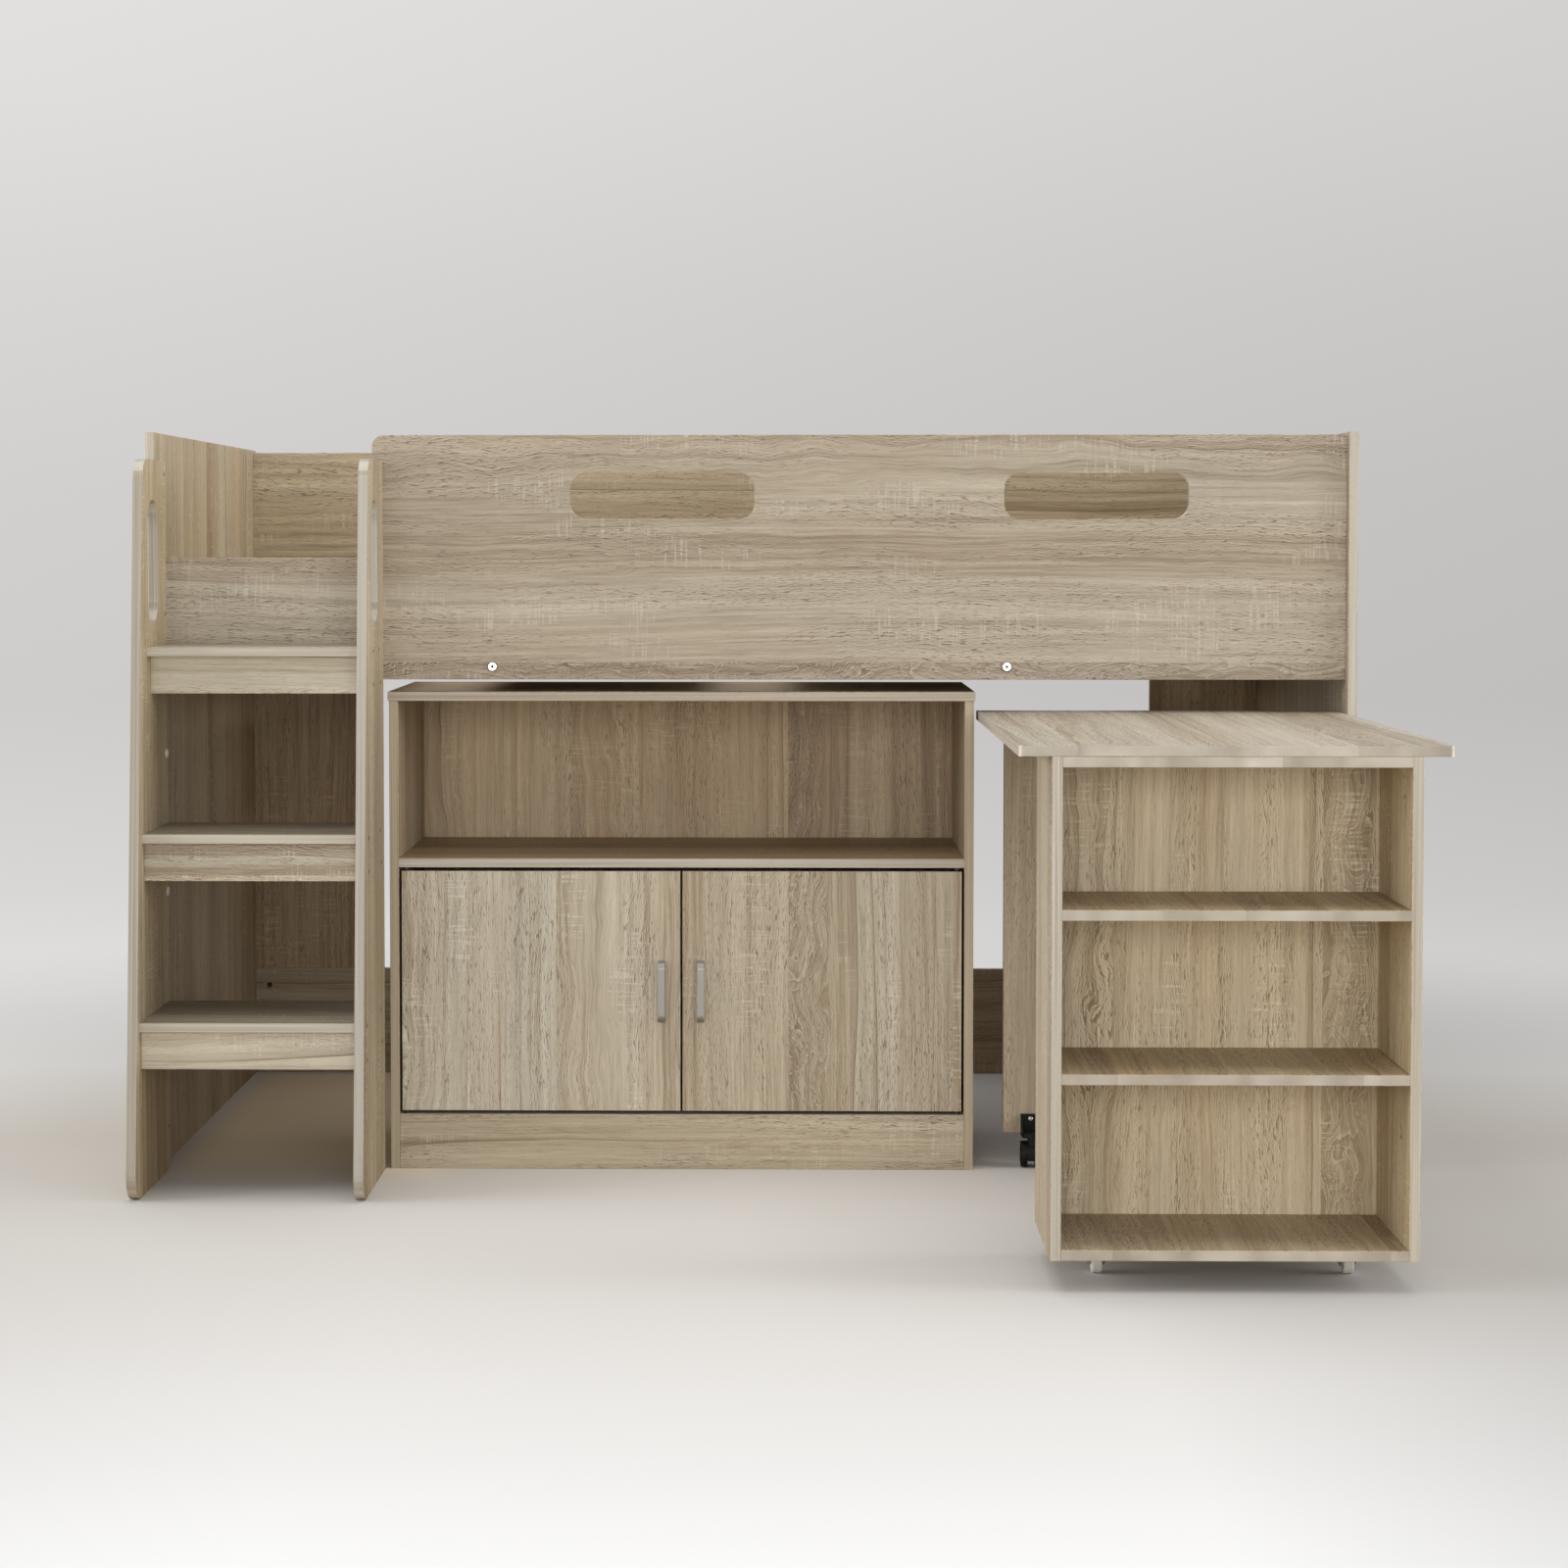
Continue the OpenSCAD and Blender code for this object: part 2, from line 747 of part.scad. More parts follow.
// Flanged bush, its flange on z = 0 and its barrel below
module pivot_bush() {
    difference() {
        union() {
            cylinder(h = bush_flange_t, r = bush_flange_r);
            translate([0, 0, -bush_deep]) cylinder(h = bush_deep, r = bush_r);
        }
        translate([0, 0, bush_floor - bush_deep])
            cylinder(h = bush_deep + bush_flange_t, r = bush_bore_r);
    }
}

module pivot_bushes() color(nylon) at_origin() for (x = pivot_xs) {
    translate([x, pivot_y, plinth_h]) pivot_bush();
    translate([x, pivot_y, cup_shelf_z - board_t]) mirror([0, 0, 1]) pivot_bush();
}

module door(x0, x1, pivot_x) color(oak) at_origin() difference() {
    board_xz([x0, cup_front, door_z0], [x1, cup_front + board_t, door_z1]);
    for (z = [door_z0 - cut, door_z1 - pin_deep])
        translate([pivot_x, pivot_y, z]) cylinder(h = pin_deep + cut, r = pin_r + bore_gap);
}

// Pin with a collar under the door's edge; z = 0 is that edge and the pin reaches down
module door_pin() {
    tip = door_gap + bush_deep - bush_floor - pin_end_gap;
    translate([0, 0, -tip]) cylinder(h = tip + pin_deep - pin_top_gap, r = pin_r);
    translate([0, 0, -collar_t]) cylinder(h = collar_t, r = collar_r);
}

module door_pins(x) color(steel) at_origin() {
    translate([x, pivot_y, door_z0]) door_pin();
    translate([x, pivot_y, door_z1]) mirror([0, 0, 1]) door_pin();
}

// Bow handle: a flat bar that bends back to the door at both ends
module handle_outline() {
    out = cup_front - handle_out;
    inner = out + handle_t;
    z0 = handle_z;
    z1 = handle_z + handle_l;
    gap_z0 = z0 + handle_foot;
    gap_z1 = z1 - handle_foot;
    polygon(concat(
        [[cup_front, z0]],
        fillet([cup_front, z0], [out, z0], [out, z1], handle_outer_bend),
        fillet([out, z0], [out, z1], [cup_front, z1], handle_outer_bend),
        [[cup_front, z1], [cup_front, gap_z1]],
        fillet([cup_front, gap_z1], [inner, gap_z1], [inner, gap_z0], handle_inner_bend),
        fillet([inner, gap_z1], [inner, gap_z0], [cup_front, gap_z0], handle_inner_bend),
        [[cup_front, gap_z0]]
    ));
}

module door_handle(x) color(satin) at_origin() {
    slab_x(x, handle_w) handle_outline();
}

// ---- desk ----------------------------------------------------------------------------

module desk_top() color(oak) at_origin() {
    left = [desk_x0, desk_y0];
    right = [desk_x1, desk_y0];
    back_left = [desk_x0, desk_y1];
    back_right = [desk_x1, desk_y1];
    intersection() {
        translate([0, 0, desk_under]) linear_extrude(board_t) polygon(concat(
            [back_right, back_left],
            fillet(back_left, left, right, desk_r),
            fillet(left, right, back_right, desk_r)
        ));
        board_xy([desk_x0, desk_y0, desk_under], [desk_x1, desk_y1, desk_h]);
    }
}

module bookcase_side(x, hole_x) color(oak) at_origin() difference() {
    board_yz([x, desk_y0, castor_h], [x + board_t, bookcase_y1, desk_under]);
    rod_x([hole_x, side_hole_y, side_hole_z], side_hole_deep + cut, side_hole_r);
}

module bookcase_level(z1, y1) color(oak) at_origin() {
    board_xy([shelf_x0, desk_y0, z1 - board_t], [shelf_x1, y1, z1]);
}

module bookcase_back() color(oak) at_origin() {
    board_xz([shelf_x0, shelf_y1, castor_h + board_t],
        [shelf_x1, bookcase_y1, desk_under - board_t]);
}

module desk_leg_panel() color(oak) at_origin() {
    board_xz([carcass_x0, leg_y, leg_z], [carcass_x1, desk_y1, desk_under]);
}

module desk_stretcher() color(oak) at_origin() {
    board_yz([carcass_x1 - board_t, bookcase_y1, desk_under - stretcher_h],
        [carcass_x1, leg_y, desk_under]);
}

// ---- front castors -------------------------------------------------------------------

// Screw-on plate with its ball race and the rivet that carries the fork
module front_castor_plate(x) {
    under = castor_h - plate_t;
    hole = plate_side / 2 - plate_hole_in;
    rivet_z = crown_z0 - crown_gap;
    translate([x, front_swivel_y, 0]) {
        difference() {
            translate([-plate_side / 2, -plate_side / 2, under])
                cube([plate_side, plate_side, plate_t]);
            for (i = [-1, 1], k = [-1, 1]) translate([i * hole, k * hole, under - cut])
                cylinder(h = plate_t + 2 * cut, r = plate_hole_r);
        }
        translate([0, 0, under - race_t]) cylinder(h = race_t, r = race_r);
        translate([0, 0, rivet_z]) cylinder(h = under - rivet_z, r = kingpin_r);
        translate([0, 0, rivet_z - rivet_t]) cylinder(h = rivet_t, r = rivet_r);
    }
}

module front_castor_plates() color(zinc) at_origin()
    for (x = front_castor_xs) front_castor_plate(x);

// Side of the fork in Y and Z: it tapers from the crown to a round end at the axle
module fork_side_outline() {
    axle = [front_trail, front_wheel_r];
    front_edge = [race_r, crown_z1];
    rear_edge = [-race_r, crown_z0 - fork_lip];
    difference() {
        union() {
            translate(axle) circle(fork_eye_r);
            polygon([
                [-race_r, crown_z1], front_edge,
                tangent(front_edge, axle, fork_eye_r, 1), axle,
                tangent(rear_edge, axle, fork_eye_r, -1), rear_edge
            ]);
        }
        translate(axle) circle(axle_r + run);
    }
}

module front_castor_fork(x) color(zinc) at_origin() translate([x, front_swivel_y, 0]) {
    difference() {
        union() {
            translate([-fork_w / 2, -race_r, crown_z0]) cube([fork_w, 2 * race_r, crown_t]);
            slab_x(-fork_w / 2, fork_t) fork_side_outline();
            slab_x(fork_w / 2 - fork_t, fork_t) fork_side_outline();
        }
        translate([0, 0, crown_z0 - cut]) cylinder(h = crown_t + 2 * cut, r = kingpin_r + run);
    }
    rod_x([-fork_w / 2 - axle_head, front_trail, front_wheel_r], fork_w + 2 * axle_head, axle_r);
}

// Solid wheel with rounded shoulders, a recessed face and a hub that stands proud
module front_castor_wheel(x) color(pale_grey) at_origin() {
    half = front_wheel_w / 2;
    r = front_wheel_r;
    bore = axle_r + run;
    hub = bore + hub_wall;
    rim = r - wheel_shoulder - 1;
    translate([x, front_swivel_y + front_trail, r]) rotate([0, 90, 0]) rotate_extrude()
        polygon(concat(
            [[bore, -half - hub_out], [hub, -half - hub_out], [hub, -half + face_in]],
            [[rim, -half + face_in]],
            fillet([rim, -half], [r, -half], [r, half], wheel_shoulder),
            fillet([r, -half], [r, half], [rim, half], wheel_shoulder),
            [[rim, half - face_in]],
            [[hub, half - face_in], [hub, half + hub_out], [bore, half + hub_out]]
        ));
}

// ---- rear castors --------------------------------------------------------------------

// Angle bracket on the leg panel's face, with a stem down from its foot
module rear_castor_bracket(x) {
    half = bracket_w / 2;
    difference() {
        union() {
            translate([x - half, leg_y - bracket_t, bracket_z])
                cube([bracket_w, bracket_t, bracket_h]);
            translate([x - half, rear_swivel_y, bracket_z])
                cube([bracket_w, leg_y - rear_swivel_y, bracket_foot_t]);
            translate([x, rear_swivel_y, bracket_z]) cylinder(h = bracket_foot_t, r = half);
            for (start = [x - half, x + half - gusset_t]) slab_x(start, gusset_t) polygon([
                [leg_y - bracket_t, bracket_z + bracket_foot_t],
                [rear_swivel_y, bracket_z + bracket_foot_t],
                [leg_y - bracket_t, bracket_z + bracket_h - gusset_down]
            ]);
        }
        rod_y([x, leg_y - bracket_t - cut, bracket_z + bracket_screw_up],
            bracket_t + 2 * cut, bracket_screw_r);
    }
    translate([x, rear_swivel_y, stem_z])
        cylinder(h = bracket_z + bracket_foot_t - stem_z, r = stem_r);
}

module rear_castor_brackets() color(black) at_origin()
    for (x = rear_castor_xs) rear_castor_bracket(x);

// Hood over the twin wheels: a curved cover, a web between the wheels and a stem neck
module rear_castor_hood(x) color(black) at_origin() translate([x, rear_swivel_y + rear_trail, 0]) {
    r = rear_wheel_r;
    half = rear_castor_w / 2;
    over_w = rear_castor_w + 2 * cut;
    neck_top = bracket_z - neck_gap;
    difference() {
        union() {
            difference() {
                rod_x([-half, 0, r], rear_castor_w, hood_r);
                rod_x([-half - cut, 0, r], over_w, r + hood_gap);
                translate([-half - cut, -hood_r - cut, -hood_r])
                    cube([over_w, 2 * hood_r + 2 * cut, hood_r + hood_z]);
                translate([-half - cut, hood_back, 0]) cube([over_w, hood_r, 2 * hood_r]);
            }
            intersection() {
                rod_x([-web_w / 2, 0, r], web_w, r + hood_gap + web_bite);
                translate([-web_w / 2, -hood_r, web_z]) cube([web_w, 2 * hood_r, 2 * hood_r]);
            }
            translate([0, -rear_trail, socket_z])
                cylinder(h = neck_top - socket_z, r = web_w / 2);
            translate([0, -rear_trail, neck_z]) cylinder(h = neck_top - neck_z, r = neck_r);
        }
        translate([0, -rear_trail, stem_z - stem_end_gap])
            cylinder(h = bracket_z, r = stem_r + run);
        rod_x([-half - cut, 0, r], over_w, axle_r + run);
    }
}

// Half-profile of one twin wheel: a rounded outer shoulder, a dished face and a low hub
module twin_wheel_outline() {
    r = rear_wheel_r;
    half = rear_castor_w / 2;
    inner = half - twin_w;
    rim = r - twin_rim;
    polygon(concat(
        [[axle_r, inner], [r, inner]],
        fillet([r, inner], [r, half], [rim, half], twin_shoulder),
        [[rim, half], [rim - 1, half - twin_dish], [axle_r + twin_hub, half - twin_dish]],
        [[axle_r + twin_hub, half - twin_cap], [axle_r, half - twin_cap]]
    ));
}

// Two plain wheels pressed on one axle
module rear_castor_wheels(x) color(black) at_origin() {
    l = rear_castor_w - 2 * twin_cap;
    translate([x, rear_swivel_y + rear_trail, rear_wheel_r]) {
        for (side = [0, 1]) mirror([side, 0, 0]) rotate([0, 90, 0]) rotate_extrude()
            twin_wheel_outline();
        rod_x([-l / 2, 0, 0], l, axle_r);
    }
}

// ---- nodes ---------------------------------------------------------------------------

end_panel_left();
end_panel_right();
front_panel();
rear_board();
rear_corner_panel(in_l);  // rear_corner_panel_left
rear_corner_panel(in_r - corner_w);  // rear_corner_panel_right
rear_bottom_rail();
slat_battens();
tie_beams();
bed_slats();
connector_bolts();
barrel_nuts();
ladder_stile_left();
ladder_stile_right();
ladder_tread(0);  // ladder_tread_lower
ladder_tread(1);  // ladder_tread_middle
ladder_tread(2);  // ladder_tread_upper
ladder_riser(0);  // ladder_riser_lower
ladder_riser(1);  // ladder_riser_middle
ladder_riser(2);  // ladder_riser_upper
ladder_apron(0);  // ladder_apron_lower
ladder_apron(1);  // ladder_apron_middle
ladder_apron(2);  // ladder_apron_upper
ladder_screws();
ladder_bolts();
cam_locks();
cupboard_side(cup_x);  // cupboard_side_left
cupboard_side(cup_x1 - board_t);  // cupboard_side_right
cupboard_top();
cupboard_shelf();
cupboard_bottom();
cupboard_back();
cupboard_plinth();
pivot_bushes();
door(door_x0, door_x1, pivot_xs[0]);  // door_left
door(door_x2, door_x3, pivot_xs[1]);  // door_right
door_pins(pivot_xs[0]);  // door_pins_left
door_pins(pivot_xs[1]);  // door_pins_right
door_handle(door_x1 - handle_in - handle_w);  // door_handle_left
door_handle(door_x2 + handle_in);  // door_handle_right
desk_top();
bookcase_side(carcass_x0, shelf_x0 - side_hole_deep);  // bookcase_side_left
bookcase_side(shelf_x1, shelf_x1 - cut);  // bookcase_side_right
bookcase_level(desk_under, bookcase_y1);  // bookcase_top
bookcase_level(shelf_z_upper, shelf_y1);  // bookcase_shelf_upper
bookcase_level(shelf_z_lower, shelf_y1);  // bookcase_shelf_lower
bookcase_level(castor_h + board_t, bookcase_y1);  // bookcase_bottom
bookcase_back();
desk_leg_panel();
desk_stretcher();
front_castor_plates();
front_castor_fork(front_castor_xs[0]);  // front_castor_fork_left
front_castor_fork(front_castor_xs[1]);  // front_castor_fork_right
front_castor_wheel(front_castor_xs[0]);  // front_castor_wheel_left
front_castor_wheel(front_castor_xs[1]);  // front_castor_wheel_right
rear_castor_brackets();
rear_castor_hood(rear_castor_xs[0]);  // rear_castor_hood_left
rear_castor_hood(rear_castor_xs[1]);  // rear_castor_hood_right
rear_castor_wheels(rear_castor_xs[0]);  // rear_castor_wheels_left
rear_castor_wheels(rear_castor_xs[1]);  // rear_castor_wheels_right
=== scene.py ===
import math

import bmesh
import bpy
from mathutils import Matrix, Vector


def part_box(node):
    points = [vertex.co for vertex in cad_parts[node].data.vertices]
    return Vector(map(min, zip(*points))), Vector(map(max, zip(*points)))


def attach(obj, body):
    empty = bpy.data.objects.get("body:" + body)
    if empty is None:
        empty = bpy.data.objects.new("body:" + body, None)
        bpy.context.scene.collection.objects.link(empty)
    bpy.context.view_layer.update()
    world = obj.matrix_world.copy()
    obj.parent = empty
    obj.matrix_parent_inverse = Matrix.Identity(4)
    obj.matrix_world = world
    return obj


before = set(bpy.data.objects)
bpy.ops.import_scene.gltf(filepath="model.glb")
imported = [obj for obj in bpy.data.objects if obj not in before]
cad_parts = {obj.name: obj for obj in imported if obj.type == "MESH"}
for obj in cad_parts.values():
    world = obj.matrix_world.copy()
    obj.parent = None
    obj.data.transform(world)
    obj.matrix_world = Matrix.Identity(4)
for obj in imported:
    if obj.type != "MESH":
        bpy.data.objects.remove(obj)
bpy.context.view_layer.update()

# Cabin bed: the finish of every board and fitting, the small screws, the studio and the camera.
# All lengths are in metres, in the frame's axes: X to the right, Y to the back, Z up.

# ---- camera --------------------------------------------------------------------------
# Fitted to the photograph's straight edges. Pixels are in its frame of 1600 by 1600, the sensor
# and lens are in millimetres, and the angles are in degrees.

IMAGE = 1600
SENSOR = 36
LENS = 71.21
PRINCIPAL = (749.24, 694.5)
CAMERA_AT = (0.0452, -5.0978, 1.0174)
CAMERA_PITCH_DOWN = 2.468
CAMERA_YAW_LEFT = 0.806
CAMERA_SEES_TO = 60


def make_camera():
    """Camera that looks slightly down, with the shift that the photograph's crop gives."""
    data = bpy.data.cameras.new("camera")
    data.sensor_width = SENSOR
    data.lens = LENS
    data.shift_x = (IMAGE / 2 - PRINCIPAL[0]) / IMAGE
    data.shift_y = (PRINCIPAL[1] - IMAGE / 2) / IMAGE
    data.clip_end = CAMERA_SEES_TO
    camera = bpy.data.objects.new("camera", data)
    camera.location = CAMERA_AT
    camera.rotation_euler = (
        math.radians(90 - CAMERA_PITCH_DOWN), 0, math.radians(CAMERA_YAW_LEFT))
    bpy.context.scene.collection.objects.link(camera)
    bpy.context.scene.camera = camera


# ---- places, colours and nodes -------------------------------------------------------


def corners_of(node):
    """Lowest and highest corner of a CAD node."""
    low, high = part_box(node)
    return Vector(low), Vector(high)


def rgb(red, green, blue):
    """Linear RGBA of an sRGB colour given in steps of 0 to 255."""
    def linear(step):
        c = step / 255
        return c / 12.92 if c <= 0.04045 else ((c + 0.055) / 1.055) ** 2.4
    return (linear(red), linear(green), linear(blue), 1.0)


class Tree:
    """Adds nodes to a node tree. Values may be sockets, numbers or tuples."""

    def __init__(self, tree):
        self.tree = tree

    def node(self, kind, inputs=None, **settings):
        made = self.tree.nodes.new(kind)
        for name, value in settings.items():
            setattr(made, name, value)
        for name, value in (inputs or {}).items():
            self.feed(made.inputs[name], value)
        return made

    def feed(self, socket, value):
        if isinstance(value, bpy.types.NodeSocket):
            self.tree.links.new(value, socket)
        else:
            socket.default_value = value

    def math(self, operation, a, b=0.0, c=0.0, clamp=False):
        made = self.node("ShaderNodeMath", operation=operation, use_clamp=clamp)
        for socket, value in zip(made.inputs, (a, b, c)):
            self.feed(socket, value)
        return made.outputs[0]

    def add(self, a, b):
        return self.math("ADD", a, b)

    def mul(self, a, b):
        return self.math("MULTIPLY", a, b)

    def step(self, value, low, high, out_low=0.0, out_high=1.0):
        """Smooth step of value from low to high."""
        made = self.node("ShaderNodeMapRange", {
            "Value": value, "From Min": low, "From Max": high,
            "To Min": out_low, "To Max": out_high}, interpolation_type="SMOOTHSTEP")
        return made.outputs["Result"]

    def vector(self, x, y, z):
        return self.node("ShaderNodeCombineXYZ", {"X": x, "Y": y, "Z": z}).outputs[0]

    def split(self, vector):
        return self.node("ShaderNodeSeparateXYZ", {"Vector": vector}).outputs

    def vmath(self, operation, a, b):
        made = self.node("ShaderNodeVectorMath", operation=operation)
        self.feed(made.inputs[0], a)
        self.feed(made.inputs[1], b)
        return made.outputs[0]

    def length(self, vector):
        made = self.node("ShaderNodeVectorMath", operation="LENGTH")
        self.feed(made.inputs[0], vector)
        return made.outputs["Value"]

    def noise(self, vector, stretch=(1, 1, 1), detail=2.0, rough=0.5, distortion=0.0):
        """Noise from 0 to 1; stretch holds its waves per metre along each axis."""
        made = self.node("ShaderNodeTexNoise", {
            "Vector": self.vmath("MULTIPLY", vector, stretch), "Scale": 1.0,
            "Detail": detail, "Roughness": rough, "Distortion": distortion})
        return made.outputs[0]

    def ramp(self, factor, stops, interpolation="LINEAR"):
        """Colour ramp through (position, colour) stops."""
        made = self.node("ShaderNodeValToRGB", {"Fac": factor})
        ramp = made.color_ramp
        ramp.interpolation = interpolation
        for extra in stops[2:]:
            ramp.elements.new(extra[0])
        for element, (position, colour) in zip(ramp.elements, sorted(stops)):
            element.position = position
            element.color = colour
        return made.outputs["Color"]

    def mix(self, factor, a, b, blend="MIX"):
        made = self.node("ShaderNodeMix", data_type="RGBA", blend_type=blend)
        self.feed(made.inputs[0], factor)
        self.feed(made.inputs[6], a)
        self.feed(made.inputs[7], b)
        return made.outputs[2]


def grey(value):
    """RGBA of a linear grey."""
    return (value, value, value, 1.0)


def new_material(name):
    """Material with a bare Principled shader. Returns the material, its Tree and the shader."""
    material = bpy.data.materials.new(name)
    material.use_nodes = True
    material.node_tree.nodes.clear()
    tree = Tree(material.node_tree)
    shader = tree.node("ShaderNodeBsdfPrincipled")
    output = tree.node("ShaderNodeOutputMaterial")
    tree.feed(output.inputs["Surface"], shader.outputs[0])
    return material, tree, shader


def bump(tree, shader, height, strength, distance):
    """Gives a shader the relief of a height from 0 to 1, which stands for a distance."""
    made = tree.node("ShaderNodeBump", {
        "Height": height, "Strength": strength, "Distance": distance})
    tree.feed(shader.inputs["Normal"], made.outputs[0])


# ---- oak laminate --------------------------------------------------------------------
# A printed sheet of sawn oak planks. On a sheet, X runs along the grain, Y across it and Z
# through the board.

# The print repeats across the sheet at this width
PRINT_WIDTH = 0.98
# Planks of the print: where each starts across the sheet, its tone, warmth and figure
PLANKS = [
    (0.000, 0.34, 0.62, 1.00),
    (0.065, 0.42, 0.55, 0.15),
    (0.110, 0.60, 0.25, 0.05),
    (0.180, 0.44, 0.45, 0.10),
    (0.265, 0.44, 0.85, 0.30),
    (0.350, 0.54, 0.40, 0.70),
    (0.420, 0.64, 0.35, 0.10),
    (0.520, 0.56, 0.15, 0.25),
    (0.600, 0.48, 0.55, 0.80),
    (0.690, 0.60, 0.50, 0.10),
    (0.770, 0.46, 0.75, 0.35),
    (0.840, 0.60, 0.62, 0.05),
]
# Planks that start at a sharp seam, where the grain breaks, and how wide both kinds of seam are
SHARP_PLANKS = (0.000, 0.265, 0.600)
SHARP_SEAM = 0.0012
SOFT_SEAM = 0.014

# Colours of the print, the edge bands and the bare hardboard, each by its level
OAK_TONES = [
    (0.00, rgb(122, 107, 87)),
    (0.28, rgb(148, 136, 117)),
    (0.50, rgb(170, 161, 145)),
    (0.72, rgb(183, 175, 160)),
    (1.00, rgb(199, 192, 178)),
]
EDGE_TONES = [
    (0.00, rgb(148, 139, 124)),
    (0.50, rgb(176, 170, 157)),
    (1.00, rgb(200, 196, 185)),
]
HARDBOARD_TONES = [
    (0.30, rgb(112, 84, 58)),
    (0.50, rgb(134, 103, 73)),
    (0.70, rgb(151, 120, 88)),
]
# Colours of pores, brown rings and saw marks, and of the tints of warmer and cooler wood
OAK_PORE = rgb(110, 91, 67)
OAK_RING = rgb(128, 107, 81)
OAK_SAW = rgb(206, 200, 186)
OAK_WARM = rgb(255, 247, 234)
OAK_COOL = rgb(249, 252, 248)

# Noises of the print: waves per metre along the grain, across it and through the board, then
# detail, roughness and, where there is any, distortion
NOISES = {
    "wander": ((0.8, 2.6, 3.0), 1.5, 0.50),
    "swing": ((5.0, 7.5, 5.0), 2.5, 0.50),
    "broad": ((0.6, 9.0, 12.0), 2.0, 0.50),
    "streak": ((1.3, 85.0, 20.0), 5.0, 0.70),
    "fibre": ((14.0, 360.0, 60.0), 2.0, 0.65),
    "hue": ((0.7, 22.0, 12.0), 2.0, 0.50),
    "ring_drift": ((0.5, 9.0, 6.0), 2.0, 0.50),
    "ring_brown": ((0.5, 10.0, 5.0), 1.5, 0.50),
    "ring_break": ((7.0, 60.0, 9.0), 1.0, 0.50),
    "pore_slant": ((4.5, 8.0, 7.0), 1.5, 0.50),
    "pore_drift": ((2.4, 20.0, 9.0), 2.0, 0.50),
    "pore_coarse": ((52.0, 390.0, 80.0), 2.0, 0.60),
    "pore_fine": ((95.0, 620.0, 110.0), 1.0, 0.50),
    "swirl": ((10.0, 20.0, 6.0), 2.5, 0.55, 0.7),
    "saw_patch": ((5.0, 13.0, 7.0), 1.0, 0.50),
    "saw_tooth": ((270.0, 20.0, 9.0), 0.5, 0.50),
    "saw_nick": ((20.0, 300.0, 9.0), 1.0, 0.50),
    "edge_lines": ((2.0, 0.0, 330.0), 3.0, 0.60),
    "edge_ends": ((0.0, 14.0, 8.0), 2.0, 0.50),
}
# Level of a noise at which its marks begin to show, and level at which they show in full
MARKS = {
    "ring_break": (0.30, 0.55),
    "pore_coarse": (0.57, 0.65),
    "pore_fine": (0.57, 0.67),
    "pore_drift": (0.36, 0.60),
    "saw_patch": (0.54, 0.64),
    "saw_tooth": (0.55, 0.68),
    "saw_nick": (0.36, 0.58),
}
# How far along the wood the next sheet is cut, and which shares of that the planks after sharp
# seams are cut at: the first one's, and how much more each next one's is
PLANK_SHIFT = 3.1
FIRST_SHARE = 0.37
NEXT_SHARE = 0.61
# How far across the sheet the grain wanders, and how far it swings in a plain and a figured plank
WANDER_REACH = 0.05
SWING_PLAIN = 0.004
SWING_FIGURED = 0.105
# How much each noise lightens or darkens the wood, and how much it changes the hue
BROAD_DEPTH = 0.62
STREAK_DEPTH = 1.38
FIBRE_DEPTH = 0.72
HUE_SWING = 0.9
HUE_STREAK = 0.45
# Growth rings per metre, how many of them the grain drifts by, and how fast a ring darkens
RINGS = 24.0
RING_DRIFT = 3.0
RING_SHARPNESS = 6.0
# Noise at which rings begin to turn brown and are brown, and the share of a ring where its dark
# line begins and is full
RING_BROWN = (0.0, 0.14)
HAIRLINE = (0.955, 0.99)
# How far aslant the pores run, and how far a pore's pale edge lies from the pore
PORE_SLANT = 0.05
PORE_RELIEF = 0.0012
FINE_PORE_SHARE = 0.8
# Contour lines of a swirl, the figure that a plank needs to have one, and where from one line to
# the next its dark and its light side begin and are full
SWIRL_LINES = 11.0
SWIRL_FIGURE = (0.85, 1.0)
SWIRL_DARK = (0.62, 0.98)
SWIRL_LIGHT = (0.18, 0.0)
# How strongly each mark covers the wood: everywhere, and the rest of it where its noise is high
RING_COVER = (0.10, 0.56)
HAIRLINE_COVER = (0.14, 0.62)
PORE_DRIFT = (0.22, 0.78)
PORE_COVER = 0.74
RELIEF_COVER = 0.45
SWIRL_DARK_COVER = 0.36
SWIRL_LIGHT_COVER = 0.34
SAW_COVER = 0.42
# Contrast of the edge bands, and their level where the noise is zero
BAND_CONTRAST = (1.7, -0.35)
# Share of the broad noise in a band where the grain ends, and how squarely a surface faces along
# or across the grain where a band of that kind begins and is full
BAND_BROAD = 0.5
BAND_FACING = (0.4, 0.6)
# How squarely a surface faces through the board where the band gives way to the sheet
SHEET_FACING = (0.65, 0.45)
# Roughness of the print, what pores and fibres add to it, and their heights in the relief
OAK_ROUGHNESS = 0.50
PORE_ROUGHNESS = 0.16
FIBRE_ROUGHNESS = 0.08
PORE_HEIGHT = -1.0
FIBRE_HEIGHT = 0.35
# Strength of that relief, and its depth
GRAIN_RELIEF = (0.35, 0.0006)
# Felt and clouds of the hardboard in waves per metre, the felt's share of them, and its relief
FELT_WAVES = (260, 260, 260)
CLOUD_WAVES = (7, 7, 7)
FELT_SHARE = 0.7
FELT_RELIEF = (0.25, 0.0004)
# Y of a surface's direction where the hardboard's printed front begins and is full
HARDBOARD_FRONT = (-0.4, -0.6)
HARDBOARD_ROUGHNESS = 0.72
HARDBOARD_PRINT_ROUGHNESS = 0.55


